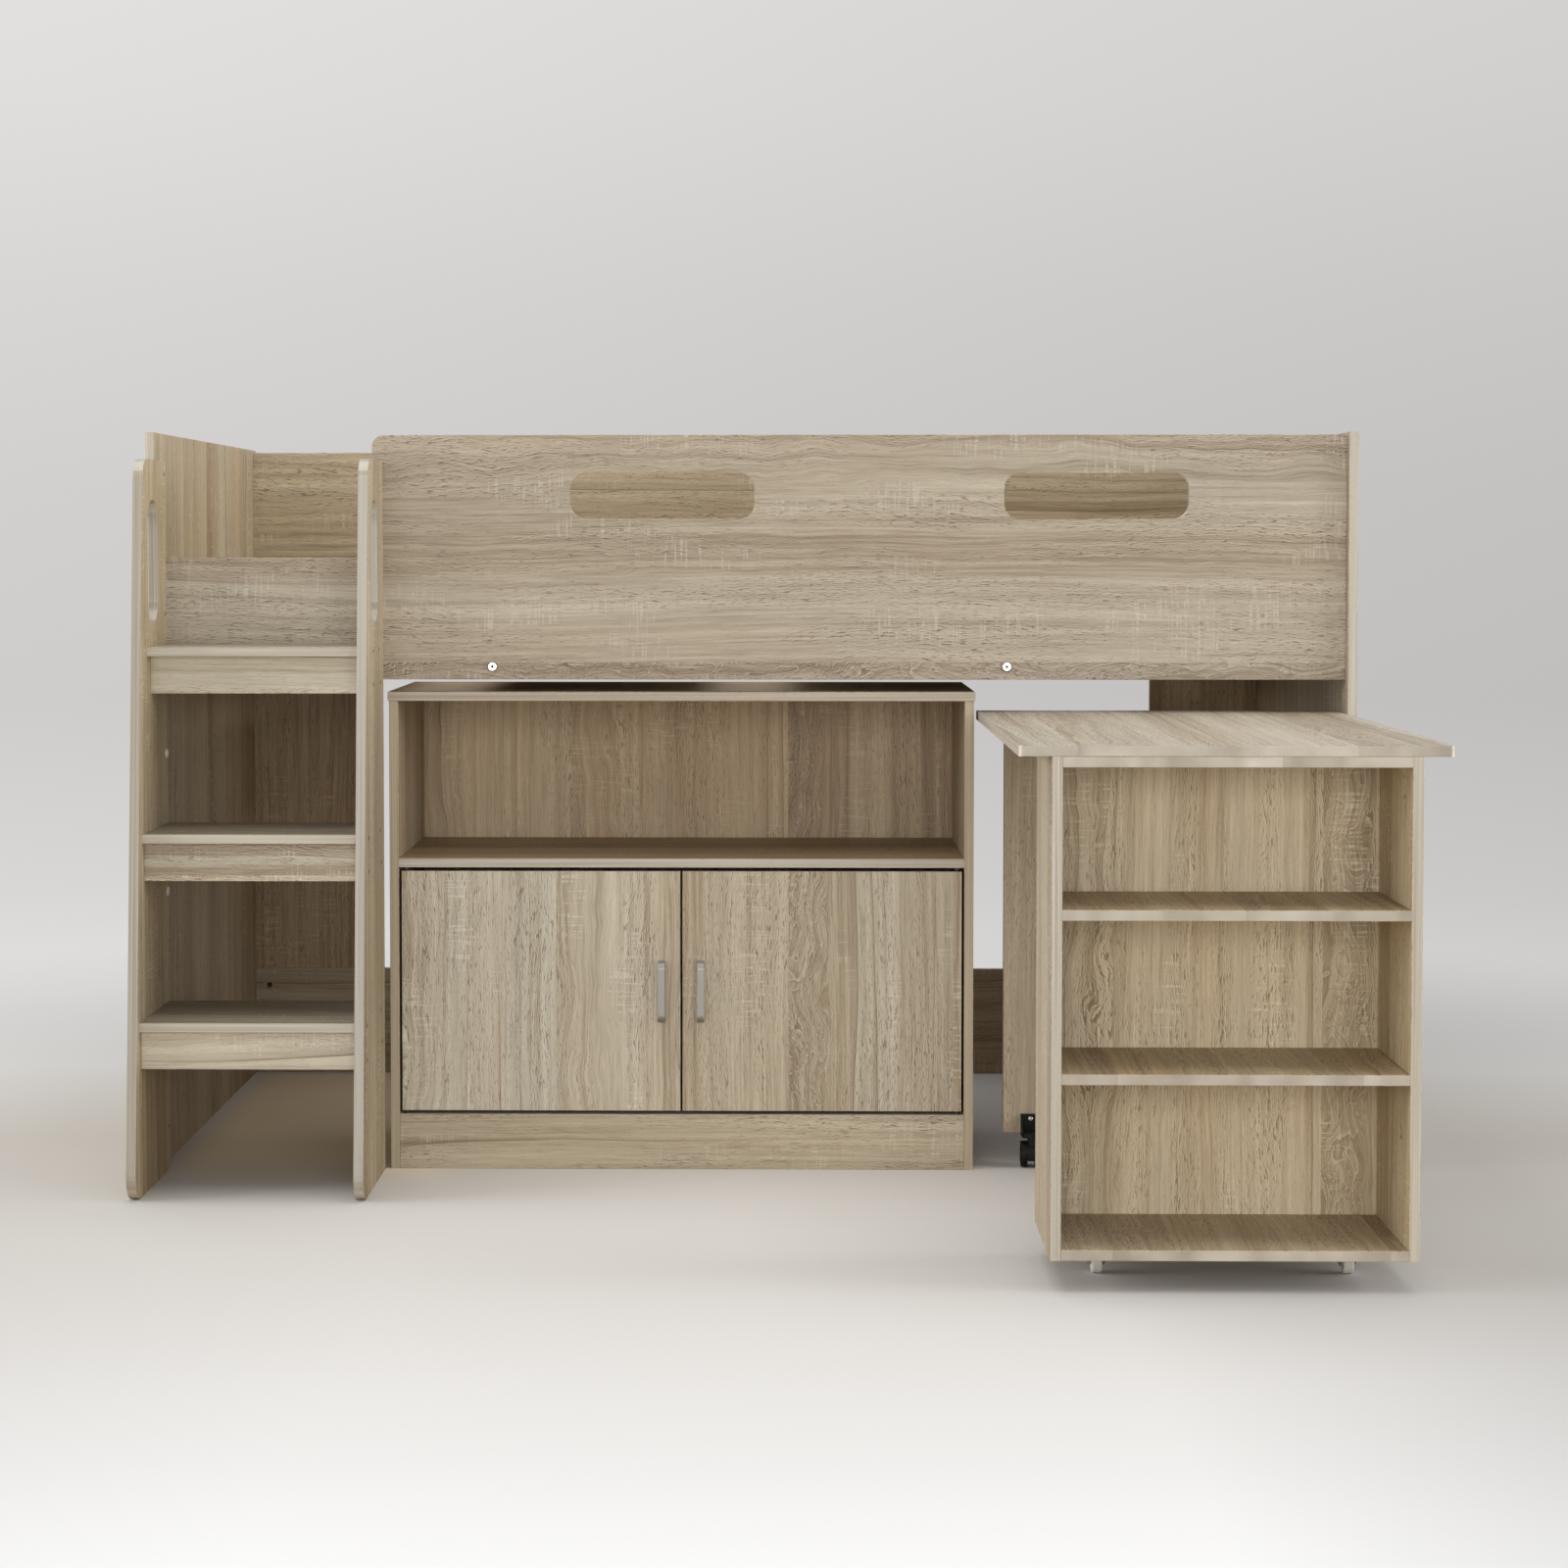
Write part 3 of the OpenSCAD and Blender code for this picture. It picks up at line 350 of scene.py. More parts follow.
def plank_stops():
    """Stops of the ramp that gives each plank's tone, warmth and figure as R, G and B."""
    stops = []
    for i, (start, *values) in enumerate(PLANKS):
        end = PLANKS[i + 1][0] if i + 1 < len(PLANKS) else PRINT_WIDTH
        before = SHARP_SEAM if start in SHARP_PLANKS else SOFT_SEAM
        after = SHARP_SEAM if end in SHARP_PLANKS or end == PRINT_WIDTH else SOFT_SEAM
        colour = (*values, 1.0)
        stops.append(((start + before / 2) / PRINT_WIDTH, colour))
        stops.append(((end - after / 2) / PRINT_WIDTH, colour))
    return stops


def plank_shifts():
    """Stops of the ramp that breaks the grain at the sharp seams."""
    return [(start / PRINT_WIDTH, grey((FIRST_SHARE + NEXT_SHARE * i) % 1.0))
            for i, start in enumerate(SHARP_PLANKS)]


def wave(t, place, name):
    """One of the print's noises, from 0 to 1."""
    return t.noise(place, *NOISES[name])


def centred(t, place, name):
    """One of the print's noises, about zero."""
    return t.math("SUBTRACT", wave(t, place, name), 0.5)


def marks(t, place, name):
    """Where one of the print's noises is high enough to leave its marks."""
    return t.step(wave(t, place, name), *MARKS[name])


def ranged(t, value, limits):
    """Turns 0 to 1 into a least value and what comes on top of it."""
    least, more = limits
    return t.add(t.mul(value, more), least)


class Wood:
    """The planks, and the places in the wood that the layers of the print are drawn from.

    straight is the place before the grain wanders, and grain, or u, v and w, the one after it.
    """

    def __init__(self, t, sheet):
        u, v, w = t.split(sheet)
        sheets = t.mul(v, 1 / PRINT_WIDTH)
        across = t.math("FRACT", sheets)
        planks = t.node("ShaderNodeSeparateColor", {"Color": t.ramp(across, plank_stops())})
        self.tone, self.warmth, self.figure = planks.outputs
        shift = t.add(t.ramp(across, plank_shifts(), "CONSTANT"), t.math("FLOOR", sheets))
        self.straight = t.vector(t.add(u, t.mul(shift, PLANK_SHIFT)), v, t.add(w, shift))
        # the grain wanders slowly everywhere, and swings aslant in figured planks
        wander = centred(t, self.straight, "wander")
        swing = centred(t, self.straight, "swing")
        figured = t.math("POWER", self.figure, 2.0)
        swinging = t.math("MULTIPLY_ADD", figured, SWING_FIGURED, SWING_PLAIN)
        self.u, _, self.w = t.split(self.straight)
        self.v = t.add(v, t.add(t.mul(wander, WANDER_REACH), t.mul(swing, swinging)))
        self.grain = t.vector(self.u, self.v, self.w)
        self.broad = centred(t, self.grain, "broad")
        self.streak = centred(t, self.grain, "streak")
        self.fibre = wave(t, self.grain, "fibre")


def ground_colour(t, wood):
    """Light and dark streaks, with soft bands of a browner and of a greener grey."""
    level = t.add(wood.tone, t.mul(wood.broad, BROAD_DEPTH))
    level = t.add(level, t.mul(wood.streak, STREAK_DEPTH))
    level = t.add(level, t.mul(t.math("SUBTRACT", wood.fibre, 0.5), FIBRE_DEPTH))
    hue = t.add(wood.warmth, t.mul(centred(t, wood.grain, "hue"), HUE_SWING))
    hue = t.add(hue, t.mul(wood.streak, HUE_STREAK))
    tint = t.mix(t.math("MULTIPLY", hue, 1.0, clamp=True), OAK_COOL, OAK_WARM)
    return t.mix(1.0, t.ramp(level, OAK_TONES), tint, "MULTIPLY")


def add_rings(t, wood, colour):
    """Growth rings: narrow brown bands that end in a thin dark line."""
    drift = t.mul(wave(t, wood.grain, "ring_drift"), RING_DRIFT)
    ring = t.math("FRACT", t.add(t.mul(wood.v, RINGS), drift))
    late = t.math("POWER", ring, RING_SHARPNESS)
    brown = t.step(centred(t, wood.grain, "ring_brown"), *RING_BROWN)
    colour = t.mix(t.mul(late, ranged(t, brown, RING_COVER)), colour, OAK_RING)
    hairline = t.step(ring, *HAIRLINE)
    broken = marks(t, wood.grain, "ring_break")
    line = t.mul(t.mul(hairline, broken), ranged(t, brown, HAIRLINE_COVER))
    return t.mix(line, colour, OAK_PORE)


def pore_dashes(t, wood, slanted, offset):
    """Short dashes, coarse and fine, moved across the sheet by an offset."""
    place = t.vector(wood.u, t.add(slanted, offset), wood.w)
    coarse = marks(t, place, "pore_coarse")
    fine = marks(t, place, "pore_fine")
    return t.math("MAXIMUM", coarse, t.mul(fine, FINE_PORE_SHARE))


def add_pores(t, wood, colour):
    """Pores: dark dashes in drifts, a little aslant, each with a pale lower edge."""
    slant = centred(t, wood.straight, "pore_slant")
    slanted = t.add(wood.v, t.mul(slant, PORE_SLANT))
    pores = pore_dashes(t, wood, slanted, 0.0)
    relief = pore_dashes(t, wood, slanted, PORE_RELIEF)
    drifting = ranged(t, marks(t, wood.grain, "pore_drift"), PORE_DRIFT)
    relief = t.mul(t.math("SUBTRACT", relief, pores, clamp=True), drifting)
    pores = t.mul(pores, drifting)
    colour = t.mix(t.mul(pores, PORE_COVER), colour, OAK_PORE)
    return t.mix(t.mul(relief, RELIEF_COVER), colour, OAK_SAW), pores


def add_swirl(t, wood, colour):
    """Contour lines of a swirl in figured planks, each dark on one side and light on the other."""
    swirled = t.step(wood.figure, *SWIRL_FIGURE)
    swirl = wave(t, wood.straight, "swirl")
    contour = t.math("FRACT", t.mul(swirl, SWIRL_LINES))
    dark = t.mul(t.step(contour, *SWIRL_DARK), swirled)
    light = t.mul(t.step(contour, *SWIRL_LIGHT), swirled)
    colour = t.mix(t.mul(dark, SWIRL_DARK_COVER), colour, OAK_PORE)
    return t.mix(t.mul(light, SWIRL_LIGHT_COVER), colour, OAK_SAW)


def add_saw_marks(t, wood, colour):
    """Saw marks: fine pale lines across the grain, in ladders here and there."""
    patch = marks(t, wood.straight, "saw_patch")
    tooth = marks(t, wood.straight, "saw_tooth")
    nicked = marks(t, wood.grain, "saw_nick")
    saw = t.mul(t.mul(patch, tooth), nicked)
    return t.mix(t.mul(saw, SAW_COVER), colour, OAK_SAW)


def edge_band_colour(t, wood, facing_along, facing_across):
    """Edge bands: lines along the grain, and soft patches where the grain ends."""
    lines = wave(t, wood.straight, "edge_lines")
    ends = t.add(t.mul(wood.broad, BAND_BROAD), wave(t, wood.straight, "edge_ends"))
    band = t.add(t.mul(lines, t.step(facing_across, *BAND_FACING)),
                 t.mul(ends, t.step(facing_along, *BAND_FACING)))
    return t.ramp(t.math("MULTIPLY_ADD", band, *BAND_CONTRAST), EDGE_TONES)


OAK_SOCKETS = [
    ("Sheet", "INPUT", "NodeSocketVector"),
    ("Facing", "INPUT", "NodeSocketVector"),
    ("Tint", "INPUT", "NodeSocketColor"),
    ("Band Tint", "INPUT", "NodeSocketColor"),
    ("Color", "OUTPUT", "NodeSocketColor"),
    ("Roughness", "OUTPUT", "NodeSocketFloat"),
    ("Height", "OUTPUT", "NodeSocketFloat"),
]


def make_oak_group():
    """Node group of the whole print, used by every board."""
    group = bpy.data.node_groups.new("oak_print", "ShaderNodeTree")
    for name, direction, kind in OAK_SOCKETS:
        group.interface.new_socket(name, in_out=direction, socket_type=kind)
    t = Tree(group)
    given = t.node("NodeGroupInput").outputs
    wood = Wood(t, given["Sheet"])
    colour = add_rings(t, wood, ground_colour(t, wood))
    colour, pores = add_pores(t, wood, colour)
    colour = add_saw_marks(t, wood, add_swirl(t, wood, colour))
    # Tint carries the painted light and shade of the board's sheet
    colour = t.mix(1.0, colour, given["Tint"], "MULTIPLY")

    along, across, through = (t.math("ABSOLUTE", n) for n in t.split(given["Facing"]))
    band = edge_band_colour(t, wood, along, across)
    # Band Tint carries the painted shade of the board's edges
    band = t.mix(1.0, band, given["Band Tint"], "MULTIPLY")
    on_edge = t.step(through, *SHEET_FACING)
    on_face = t.math("SUBTRACT", 1.0, on_edge)
    roughness = t.add(t.mul(pores, PORE_ROUGHNESS), t.mul(wood.fibre, FIBRE_ROUGHNESS))
    height = t.add(t.mul(pores, PORE_HEIGHT), t.mul(wood.fibre, FIBRE_HEIGHT))
    t.node("NodeGroupOutput", {
        "Color": t.mix(on_edge, colour, band),
        "Roughness": t.add(OAK_ROUGHNESS, roughness),
        "Height": t.mul(height, on_face)})
    return group


# The doors and the thin board behind them are cut from one sheet. Its first plank starts at this X
DOOR_X = 0.063
# Boards: along the grain, across it, where the frame's origin lies on the sheet, sign across
OAK_BOARDS = {
    "front_panel": ("x", "z", (0.30, 0.830, 0.0), -1),
    "rear_board": ("x", "z", (0.42, 0.900, 0.4), -1),
    "rear_bottom_rail": ("x", "z", (1.9, 0.33, 0.2), -1),
    "rear_corner_panel_left": ("z", "x", (0.7, 1.11, 0.3), 1),
    "rear_corner_panel_right": ("z", "x", (0.2, 0.31, 0.5), 1),
    "end_panel_left": ("z", "y", (0.1, 0.60, 0.0), 1),
    "end_panel_right": ("z", "y", (1.4, 0.12, 0.0), 1),
    "ladder_stile_left": ("z", "y", (2.2, 0.44, 0.0), 1),
    "ladder_stile_right": ("z", "y", (3.1, 0.36, 0.0), 1),
    "cupboard_side_left": ("z", "y", (4.4, 0.73, 0.0), 1),
    "cupboard_side_right": ("z", "y", (5.2, 0.21, 0.0), 1),
    "cupboard_top": ("x", "y", (2.7, 0.48, 0.0), 1),
    "cupboard_shelf": ("x", "y", (3.6, 0.86, 0.0), 1),
    "cupboard_bottom": ("x", "y", (4.1, 0.15, 0.0), 1),
    "cupboard_plinth": ("x", "z", (1.3, 0.52, 0.0), -1),
    "bed_slats": ("y", "x", (7.4, 0.44, 0.0), 1),
    "door_left": ("z", "x", (0.25, -DOOR_X, 0.0), 1),
    "door_right": ("z", "x", (0.25, -DOOR_X, 0.0), 1),
    "desk_top": ("y", "x", (6.0, 0.15, 0.0), 1),
    "bookcase_side_left": ("z", "y", (1.7, 0.95, 0.0), 1),
    "bookcase_side_right": ("z", "y", (2.9, 0.55, 0.0), 1),
    "bookcase_top": ("y", "x", (7.1, 0.52, 0.0), 1),
    "bookcase_shelf_upper": ("y", "x", (5.3, 0.30, 0.0), 1),
    "bookcase_shelf_lower": ("y", "x", (4.7, 0.74, 0.0), 1),
    "bookcase_bottom": ("y", "x", (8.2, 0.10, 0.0), 1),
    "bookcase_back": ("z", "x", (0.4, -0.824, 0.0), 1),
    "desk_leg_panel": ("z", "x", (3.8, 0.08, 0.0), 1),
    "desk_stretcher": ("y", "z", (2.4, 0.42, 0.0), 1),
}

# Painted light and shade: how much lighter, darker or browner than the rest a board's sheet is
# painted on the face towards the camera, in place of the light and shade that falls there, as
# shares of R, G and B
PLAIN = (1.0, 1.0, 1.0)
OAK_PAINTED_LIGHT_AND_SHADE = {
    "front_panel": (0.88, 0.88, 0.90),
    "cupboard_back": (1.02, 0.87, 0.69),
    "cupboard_top": (0.73, 0.62, 0.50),
    "cupboard_side_left": (0.95, 0.88, 0.80),
    "cupboard_side_right": (0.95, 0.88, 0.80),
    "cupboard_shelf": (0.77, 0.64, 0.47),
    "cupboard_plinth": (0.99, 0.96, 0.92),
    "door_left": (1.17, 1.21, 1.28),
    "bookcase_back": (1.37, 1.31, 1.20),
    "bookcase_side_left": (1.02, 1.03, 1.07),
    "bookcase_side_right": (1.38, 1.31, 1.17),
    "bookcase_shelf_upper": (1.00, 0.87, 0.70),
    "bookcase_shelf_lower": (1.00, 0.87, 0.70),
    "bookcase_bottom": (0.97, 0.88, 0.76),
    "desk_top": (0.95, 0.96, 1.00),
    "desk_leg_panel": (0.96, 0.90, 0.84),
    "end_panel_left": (1.14, 1.06, 0.96),
    "ladder_stile_left": (1.24, 1.18, 1.06),
    "ladder_stile_right": (1.04, 1.02, 0.98),
    "rear_board": (0.95, 0.87, 0.75),
    "rear_bottom_rail": (1.00, 0.93, 0.84),
    "rear_corner_panel_left": (1.06, 0.92, 0.76),
    "rear_corner_panel_right": (1.16, 1.00, 0.80),
}
# The same painted shade for the bands on a board's edges
BAND_PAINTED_SHADE = {
    "cupboard_top": (0.82, 0.77, 0.72),
    "cupboard_side_left": (0.88, 0.81, 0.68),
    "cupboard_side_right": (0.88, 0.81, 0.68),
    "bookcase_shelf_upper": (0.92, 0.91, 0.90),
    "bookcase_shelf_lower": (0.92, 0.91, 0.90),
    "bookcase_bottom": (0.95, 0.94, 0.92),
    "desk_top": (0.95, 0.95, 0.96),
    "ladder_stile_left": (0.76, 0.75, 0.73),
    "ladder_stile_right": (0.88, 0.90, 0.92),
}
# Places in a board where its cut edges are painted darker: the middle and half size in y and z, and
# tint.
# The lower end of a hand slot and the top of a stile get a duller grey of painted shade in place of
# the light that falls on them, and the empty fixing holes are painted dark for their raw core and
# the shade deep inside them.
HAND_SLOT_SHADE = ((-0.1695, 0.906), (0.042, 0.022), (0.62, 0.60, 0.56, 1.0))
STILE_TOP_SHADE = ((-0.20, 1.165), (0.20, 0.035), (0.76, 0.75, 0.72, 1.0))
FIXING_HOLE_CORE_AND_SHADE = ((-0.0725, 0.60), (0.0036, 0.60), (0.10, 0.09, 0.07, 1.0))
PAINTED_SHADE_RIMS = {
    "ladder_stile_left": (HAND_SLOT_SHADE, STILE_TOP_SHADE, FIXING_HOLE_CORE_AND_SHADE),
    "ladder_stile_right": (HAND_SLOT_SHADE, STILE_TOP_SHADE),
}
RIM_FADE = 0.001
# How squarely a surface faces through the board where it is that face in full
FACE_TURN = 0.1

# The ladder's boards, each step's cut from places of its own
STEPS = ("lower", "middle", "upper")
# Painted light on the risers' fronts and painted shade on the treads' tops
RISER_PAINTED_LIGHT = (1.12, 1.17, 1.24)
TREAD_PAINTED_SHADE = (0.66, 0.64, 0.60)
for i, step_name in enumerate(STEPS):
    OAK_BOARDS[f"ladder_tread_{step_name}"] = ("x", "y", (1.1 * i, 0.40 + 0.17 * i, 0), 1)
    OAK_BOARDS[f"ladder_riser_{step_name}"] = ("x", "z", (0.9 + 1.3 * i, 0.77 * i, 0), -1)
    OAK_BOARDS[f"ladder_apron_{step_name}"] = ("x", "z", (4.0 + i, 0.35 * i, 0), -1)
    OAK_PAINTED_LIGHT_AND_SHADE[f"ladder_riser_{step_name}"] = RISER_PAINTED_LIGHT
    OAK_PAINTED_LIGHT_AND_SHADE[f"ladder_tread_{step_name}"] = TREAD_PAINTED_SHADE

AXES = "xyz"


def through_axis(along, across):
    """The axis through a board's thickness."""
    return (set(AXES) - {along, across}).pop()


def sheet_of(t, vector, along, across, sign):
    """Turns a vector in the frame's axes into the sheet's: along, across, through."""
    parts = dict(zip(AXES, t.split(vector)))
    through = parts[through_axis(along, across)]
    return t.vector(parts[along], t.mul(parts[across], sign), through)


def painted_band_shade(t, node, place):
    """Painted shade on a board's edges at a place, darker still at its painted shade rims."""
    tint = (*BAND_PAINTED_SHADE.get(node, PLAIN), 1.0)
    _, y, z = t.split(place)
    for middle, reach, dark in PAINTED_SHADE_RIMS.get(node, ()):
        near = 1.0
        for value, centre, half in zip((y, z), middle, reach):
            away = t.math("ABSOLUTE", t.math("SUBTRACT", value, centre))
            near = t.mul(near, t.step(away, half + RIM_FADE, half))
        tint = t.mix(near, tint, dark)
    return tint


def painted_face_light_and_shade(t, node, through, facing):
    """Painted light and shade of a board's sheet on the face towards the camera. The other face is
    plain.
    """
    if node not in OAK_PAINTED_LIGHT_AND_SHADE:
        return (*PLAIN, 1.0)
    low, high = corners_of(node)
    axis = AXES.index(through)
    side = 1 if CAMERA_AT[axis] > (low[axis] + high[axis]) / 2 else -1
    shown = t.step(t.mul(t.split(facing)[2], side), -FACE_TURN, FACE_TURN)
    return t.mix(shown, (*PLAIN, 1.0), (*OAK_PAINTED_LIGHT_AND_SHADE[node], 1.0))


def oak_nodes(t, group, node, along, across, start, sign):
    """Outputs of the oak print on one board. start is where the frame's origin lies on it."""
    place = t.node("ShaderNodeTexCoord").outputs
    sheet = t.vmath("ADD", sheet_of(t, place["Object"], along, across, sign), start)
    facing = sheet_of(t, place["Normal"], along, across, sign)
    made = t.node("ShaderNodeGroup", node_tree=group)
    values = {
        "Sheet": sheet,
        "Facing": facing,
        "Tint": painted_face_light_and_shade(t, node, through_axis(along, across), facing),
        "Band Tint": painted_band_shade(t, node, place["Object"]),
    }
    for name, value in values.items():
        t.feed(made.inputs[name], value)
    return made.outputs


def oak_material(node, group, along, across, start, sign):
    """Oak laminate of one board."""
    material, t, shader = new_material(f"oak_{node}")
    oak = oak_nodes(t, group, node, along, across, start, sign)
    t.feed(shader.inputs["Base Color"], oak["Color"])
    t.feed(shader.inputs["Roughness"], oak["Roughness"])
    bump(t, shader, oak["Height"], *GRAIN_RELIEF)
    return material


def back_board_material(group):
    """Thin fibreboard: printed oak in front, bare brown hardboard at its back and edges."""
    material, t, shader = new_material("thin_back_board")
    oak = oak_nodes(t, group, "cupboard_back", "z", "x", (0.0, -DOOR_X, 0.0), 1)
    place = t.node("ShaderNodeTexCoord").outputs
    felt = t.noise(place["Object"], FELT_WAVES, detail=3.0, rough=0.7)
    cloud = t.noise(place["Object"], CLOUD_WAVES, detail=3.0)
    level = t.add(t.mul(felt, FELT_SHARE), t.mul(cloud, 1 - FELT_SHARE))
    front = t.step(t.split(place["Normal"])[1], *HARDBOARD_FRONT)
    roughness = t.step(front, 0.0, 1.0, HARDBOARD_ROUGHNESS, HARDBOARD_PRINT_ROUGHNESS)
    t.feed(shader.inputs["Base Color"], t.mix(front, t.ramp(level, HARDBOARD_TONES), oak["Color"]))
    t.feed(shader.inputs["Roughness"], roughness)
    bump(t, shader, felt, *FELT_RELIEF)
    return material


# ---- other materials -----------------------------------------------------------------

PINE_TONES = [
    (0.25, rgb(184, 148, 100)),
    (0.45, rgb(214, 184, 138)),
    (0.75, rgb(228, 204, 162)),
]
# Waves per metre of the pine's rings and fibres, by the axis that its grain runs along
PINE_RINGS = {"x": (1.2, 38.0, 30.0), "y": (38.0, 1.2, 30.0)}
PINE_FIBRES = {"x": (8.0, 300.0, 300.0), "y": (300.0, 8.0, 300.0)}
PINE_FIBRE_DEPTH = 0.25
PINE_ROUGHNESS = 0.55
PINE_FIBRE_ROUGHNESS = 0.15
PINE_RELIEF = (0.3, 0.0004)
# Levels that nearly all of a noise lies between
NOISE_REACH = (0.2, 0.8)
# Metal: waves per metre of its clouds, its grain's share of them, how dark both make it, how far
# its roughness goes down and up, and the depth of its relief
METAL_CLOUDS = (60, 60, 60)
METAL_GRAIN_SHARE = 0.6
METAL_SHADE = 0.82
METAL_ROUGHNESS_SPREAD = (0.07, 0.08)
METAL_RELIEF = 0.0002
# Plastic: waves per metre of its clouds, their colour as a share of its own and what is added to
# that, how far its roughness goes down and up, and the depth of its skin
PLASTIC_CLOUDS = (45, 45, 45)
PLASTIC_LIGHTER = (1.18, 0.004)
PLASTIC_ROUGHNESS_SPREAD = (0.05, 0.08)
PLASTIC_RELIEF = 0.0003
# Bolts: colour of the turning marks and of the painted shadow on a head's rim, the painted shade in
# its socket, their sizes, and where one colour fades into the next
BOLT_TURNING_AND_RIM_SHADOW = rgb(86, 83, 79)
BOLT_SOCKET_SHADE = rgb(24, 22, 20)
BOLT_RIM_WIDE = 0.0011
BOLT_SOCKET = 0.0022
RIM_BLEND = 0.0003
SOCKET_BLEND = 0.0002
# Marks of turning on a head: waves per metre of its radius, how much darker, roughness, relief
TURNED_WAVES = (2600, 1, 1)
TURNED_SHADE = 0.25
TURNED_ROUGHNESS = (0.27, 0.38)
TURNED_RELIEF = (0.1, 0.0001)


def object_place(t):
    """Place in the frame's axes."""
    return t.node("ShaderNodeTexCoord").outputs["Object"]


def make_pine(name, along):
    """Planed pine with growth rings drawn out along the board."""
    material, t, shader = new_material(name)
    place = object_place(t)
    rings = t.noise(place, PINE_RINGS[along], detail=3.0, rough=0.55, distortion=0.3)
    fibre = t.noise(place, PINE_FIBRES[along])
    level = t.add(rings, t.mul(t.math("SUBTRACT", fibre, 0.5), PINE_FIBRE_DEPTH))
    roughness = t.add(PINE_ROUGHNESS, t.mul(fibre, PINE_FIBRE_ROUGHNESS))
    t.feed(shader.inputs["Base Color"], t.ramp(level, PINE_TONES))
    t.feed(shader.inputs["Roughness"], roughness)
    bump(t, shader, fibre, *PINE_RELIEF)
    return material


def make_metal(name, colour, roughness, brush=(200, 200, 200), depth=0.12, metallic=1.0):
    """Metal with a slight grain: brush holds its waves per metre along each axis."""
    material, t, shader = new_material(name)
    place = object_place(t)
    grain = t.noise(place, brush, detail=3.0, rough=0.6)
    cloud = t.noise(place, METAL_CLOUDS)
    level = t.add(t.mul(grain, METAL_GRAIN_SHARE), t.mul(cloud, 1 - METAL_GRAIN_SHARE))
    dark = tuple(c * METAL_SHADE for c in colour[:3]) + (1.0,)
    less, more = METAL_ROUGHNESS_SPREAD
    varied = t.step(level, *NOISE_REACH, roughness - less, roughness + more)
    t.feed(shader.inputs["Base Color"], t.mix(level, dark, colour))
    t.feed(shader.inputs["Roughness"], varied)
    shader.inputs["Metallic"].default_value = metallic
    bump(t, shader, grain, depth, METAL_RELIEF)
    return material


def make_bolt_metal(name, colour, node):
    """Steel of bolts along Y, with turning marks, painted shade in their sockets and a painted
    shadow round the rims of their heads.
    """
    material, t, shader = new_material(name)
    low, high = corners_of(node)
    head = (high.z - low.z) / 2
    axes = (low.x + head, high.x - head)
    x, _, z = t.split(object_place(t))
    aside = t.math("MINIMUM", *(t.math("ABSOLUTE", t.math("SUBTRACT", x, axis)) for axis in axes))
    above = t.math("SUBTRACT", z, (low.z + high.z) / 2)
    radius = t.length(t.vector(aside, above, 0.0))
    turned = t.noise(t.vector(radius, 0.0, 0.0), TURNED_WAVES)
    rim = head - BOLT_RIM_WIDE
    colour = t.mix(t.mul(turned, TURNED_SHADE), colour, BOLT_TURNING_AND_RIM_SHADOW)
    # painted shadow round the rim of the head
    colour = t.mix(t.step(radius, rim, rim + RIM_BLEND), colour, BOLT_TURNING_AND_RIM_SHADOW)
    # painted shade in the socket
    colour = t.mix(t.step(radius, BOLT_SOCKET + SOCKET_BLEND, BOLT_SOCKET), colour, BOLT_SOCKET_SHADE)
    t.feed(shader.inputs["Base Color"], colour)
    t.feed(shader.inputs["Roughness"], t.step(turned, *NOISE_REACH, *TURNED_ROUGHNESS))
    shader.inputs["Metallic"].default_value = 1.0
    bump(t, shader, turned, *TURNED_RELIEF)
    return material


def make_plastic(name, colour, roughness, gloss=0.5, speck=900, depth=0.15):
    """Moulded plastic with a fine skin: speck holds its waves per metre."""
    material, t, shader = new_material(name)
    shader.inputs["Specular IOR Level"].default_value = gloss
    place = object_place(t)
    skin = t.noise(place, (speck, speck, speck))
    cloud = t.noise(place, PLASTIC_CLOUDS, detail=3.0)
    share, added = PLASTIC_LIGHTER
    light = tuple(min(1.0, c * share + added) for c in colour[:3]) + (1.0,)
    less, more = PLASTIC_ROUGHNESS_SPREAD
    varied = t.step(cloud, *NOISE_REACH, roughness - less, roughness + more)
    t.feed(shader.inputs["Base Color"], t.mix(cloud, colour, light))
    t.feed(shader.inputs["Roughness"], varied)
    bump(t, shader, skin, depth, PLASTIC_RELIEF)
    return material


def assign(node, material):
    """Gives a CAD node its finish."""
    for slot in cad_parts[node].material_slots:
        slot.material = material


def finish_boards():
    """Gives each board its own cut of the oak print."""
    group = make_oak_group()
    for node, (along, across, start, sign) in OAK_BOARDS.items():
        assign(node, oak_material(node, group, along, across, start, sign))
    assign("cupboard_back", back_board_material(group))


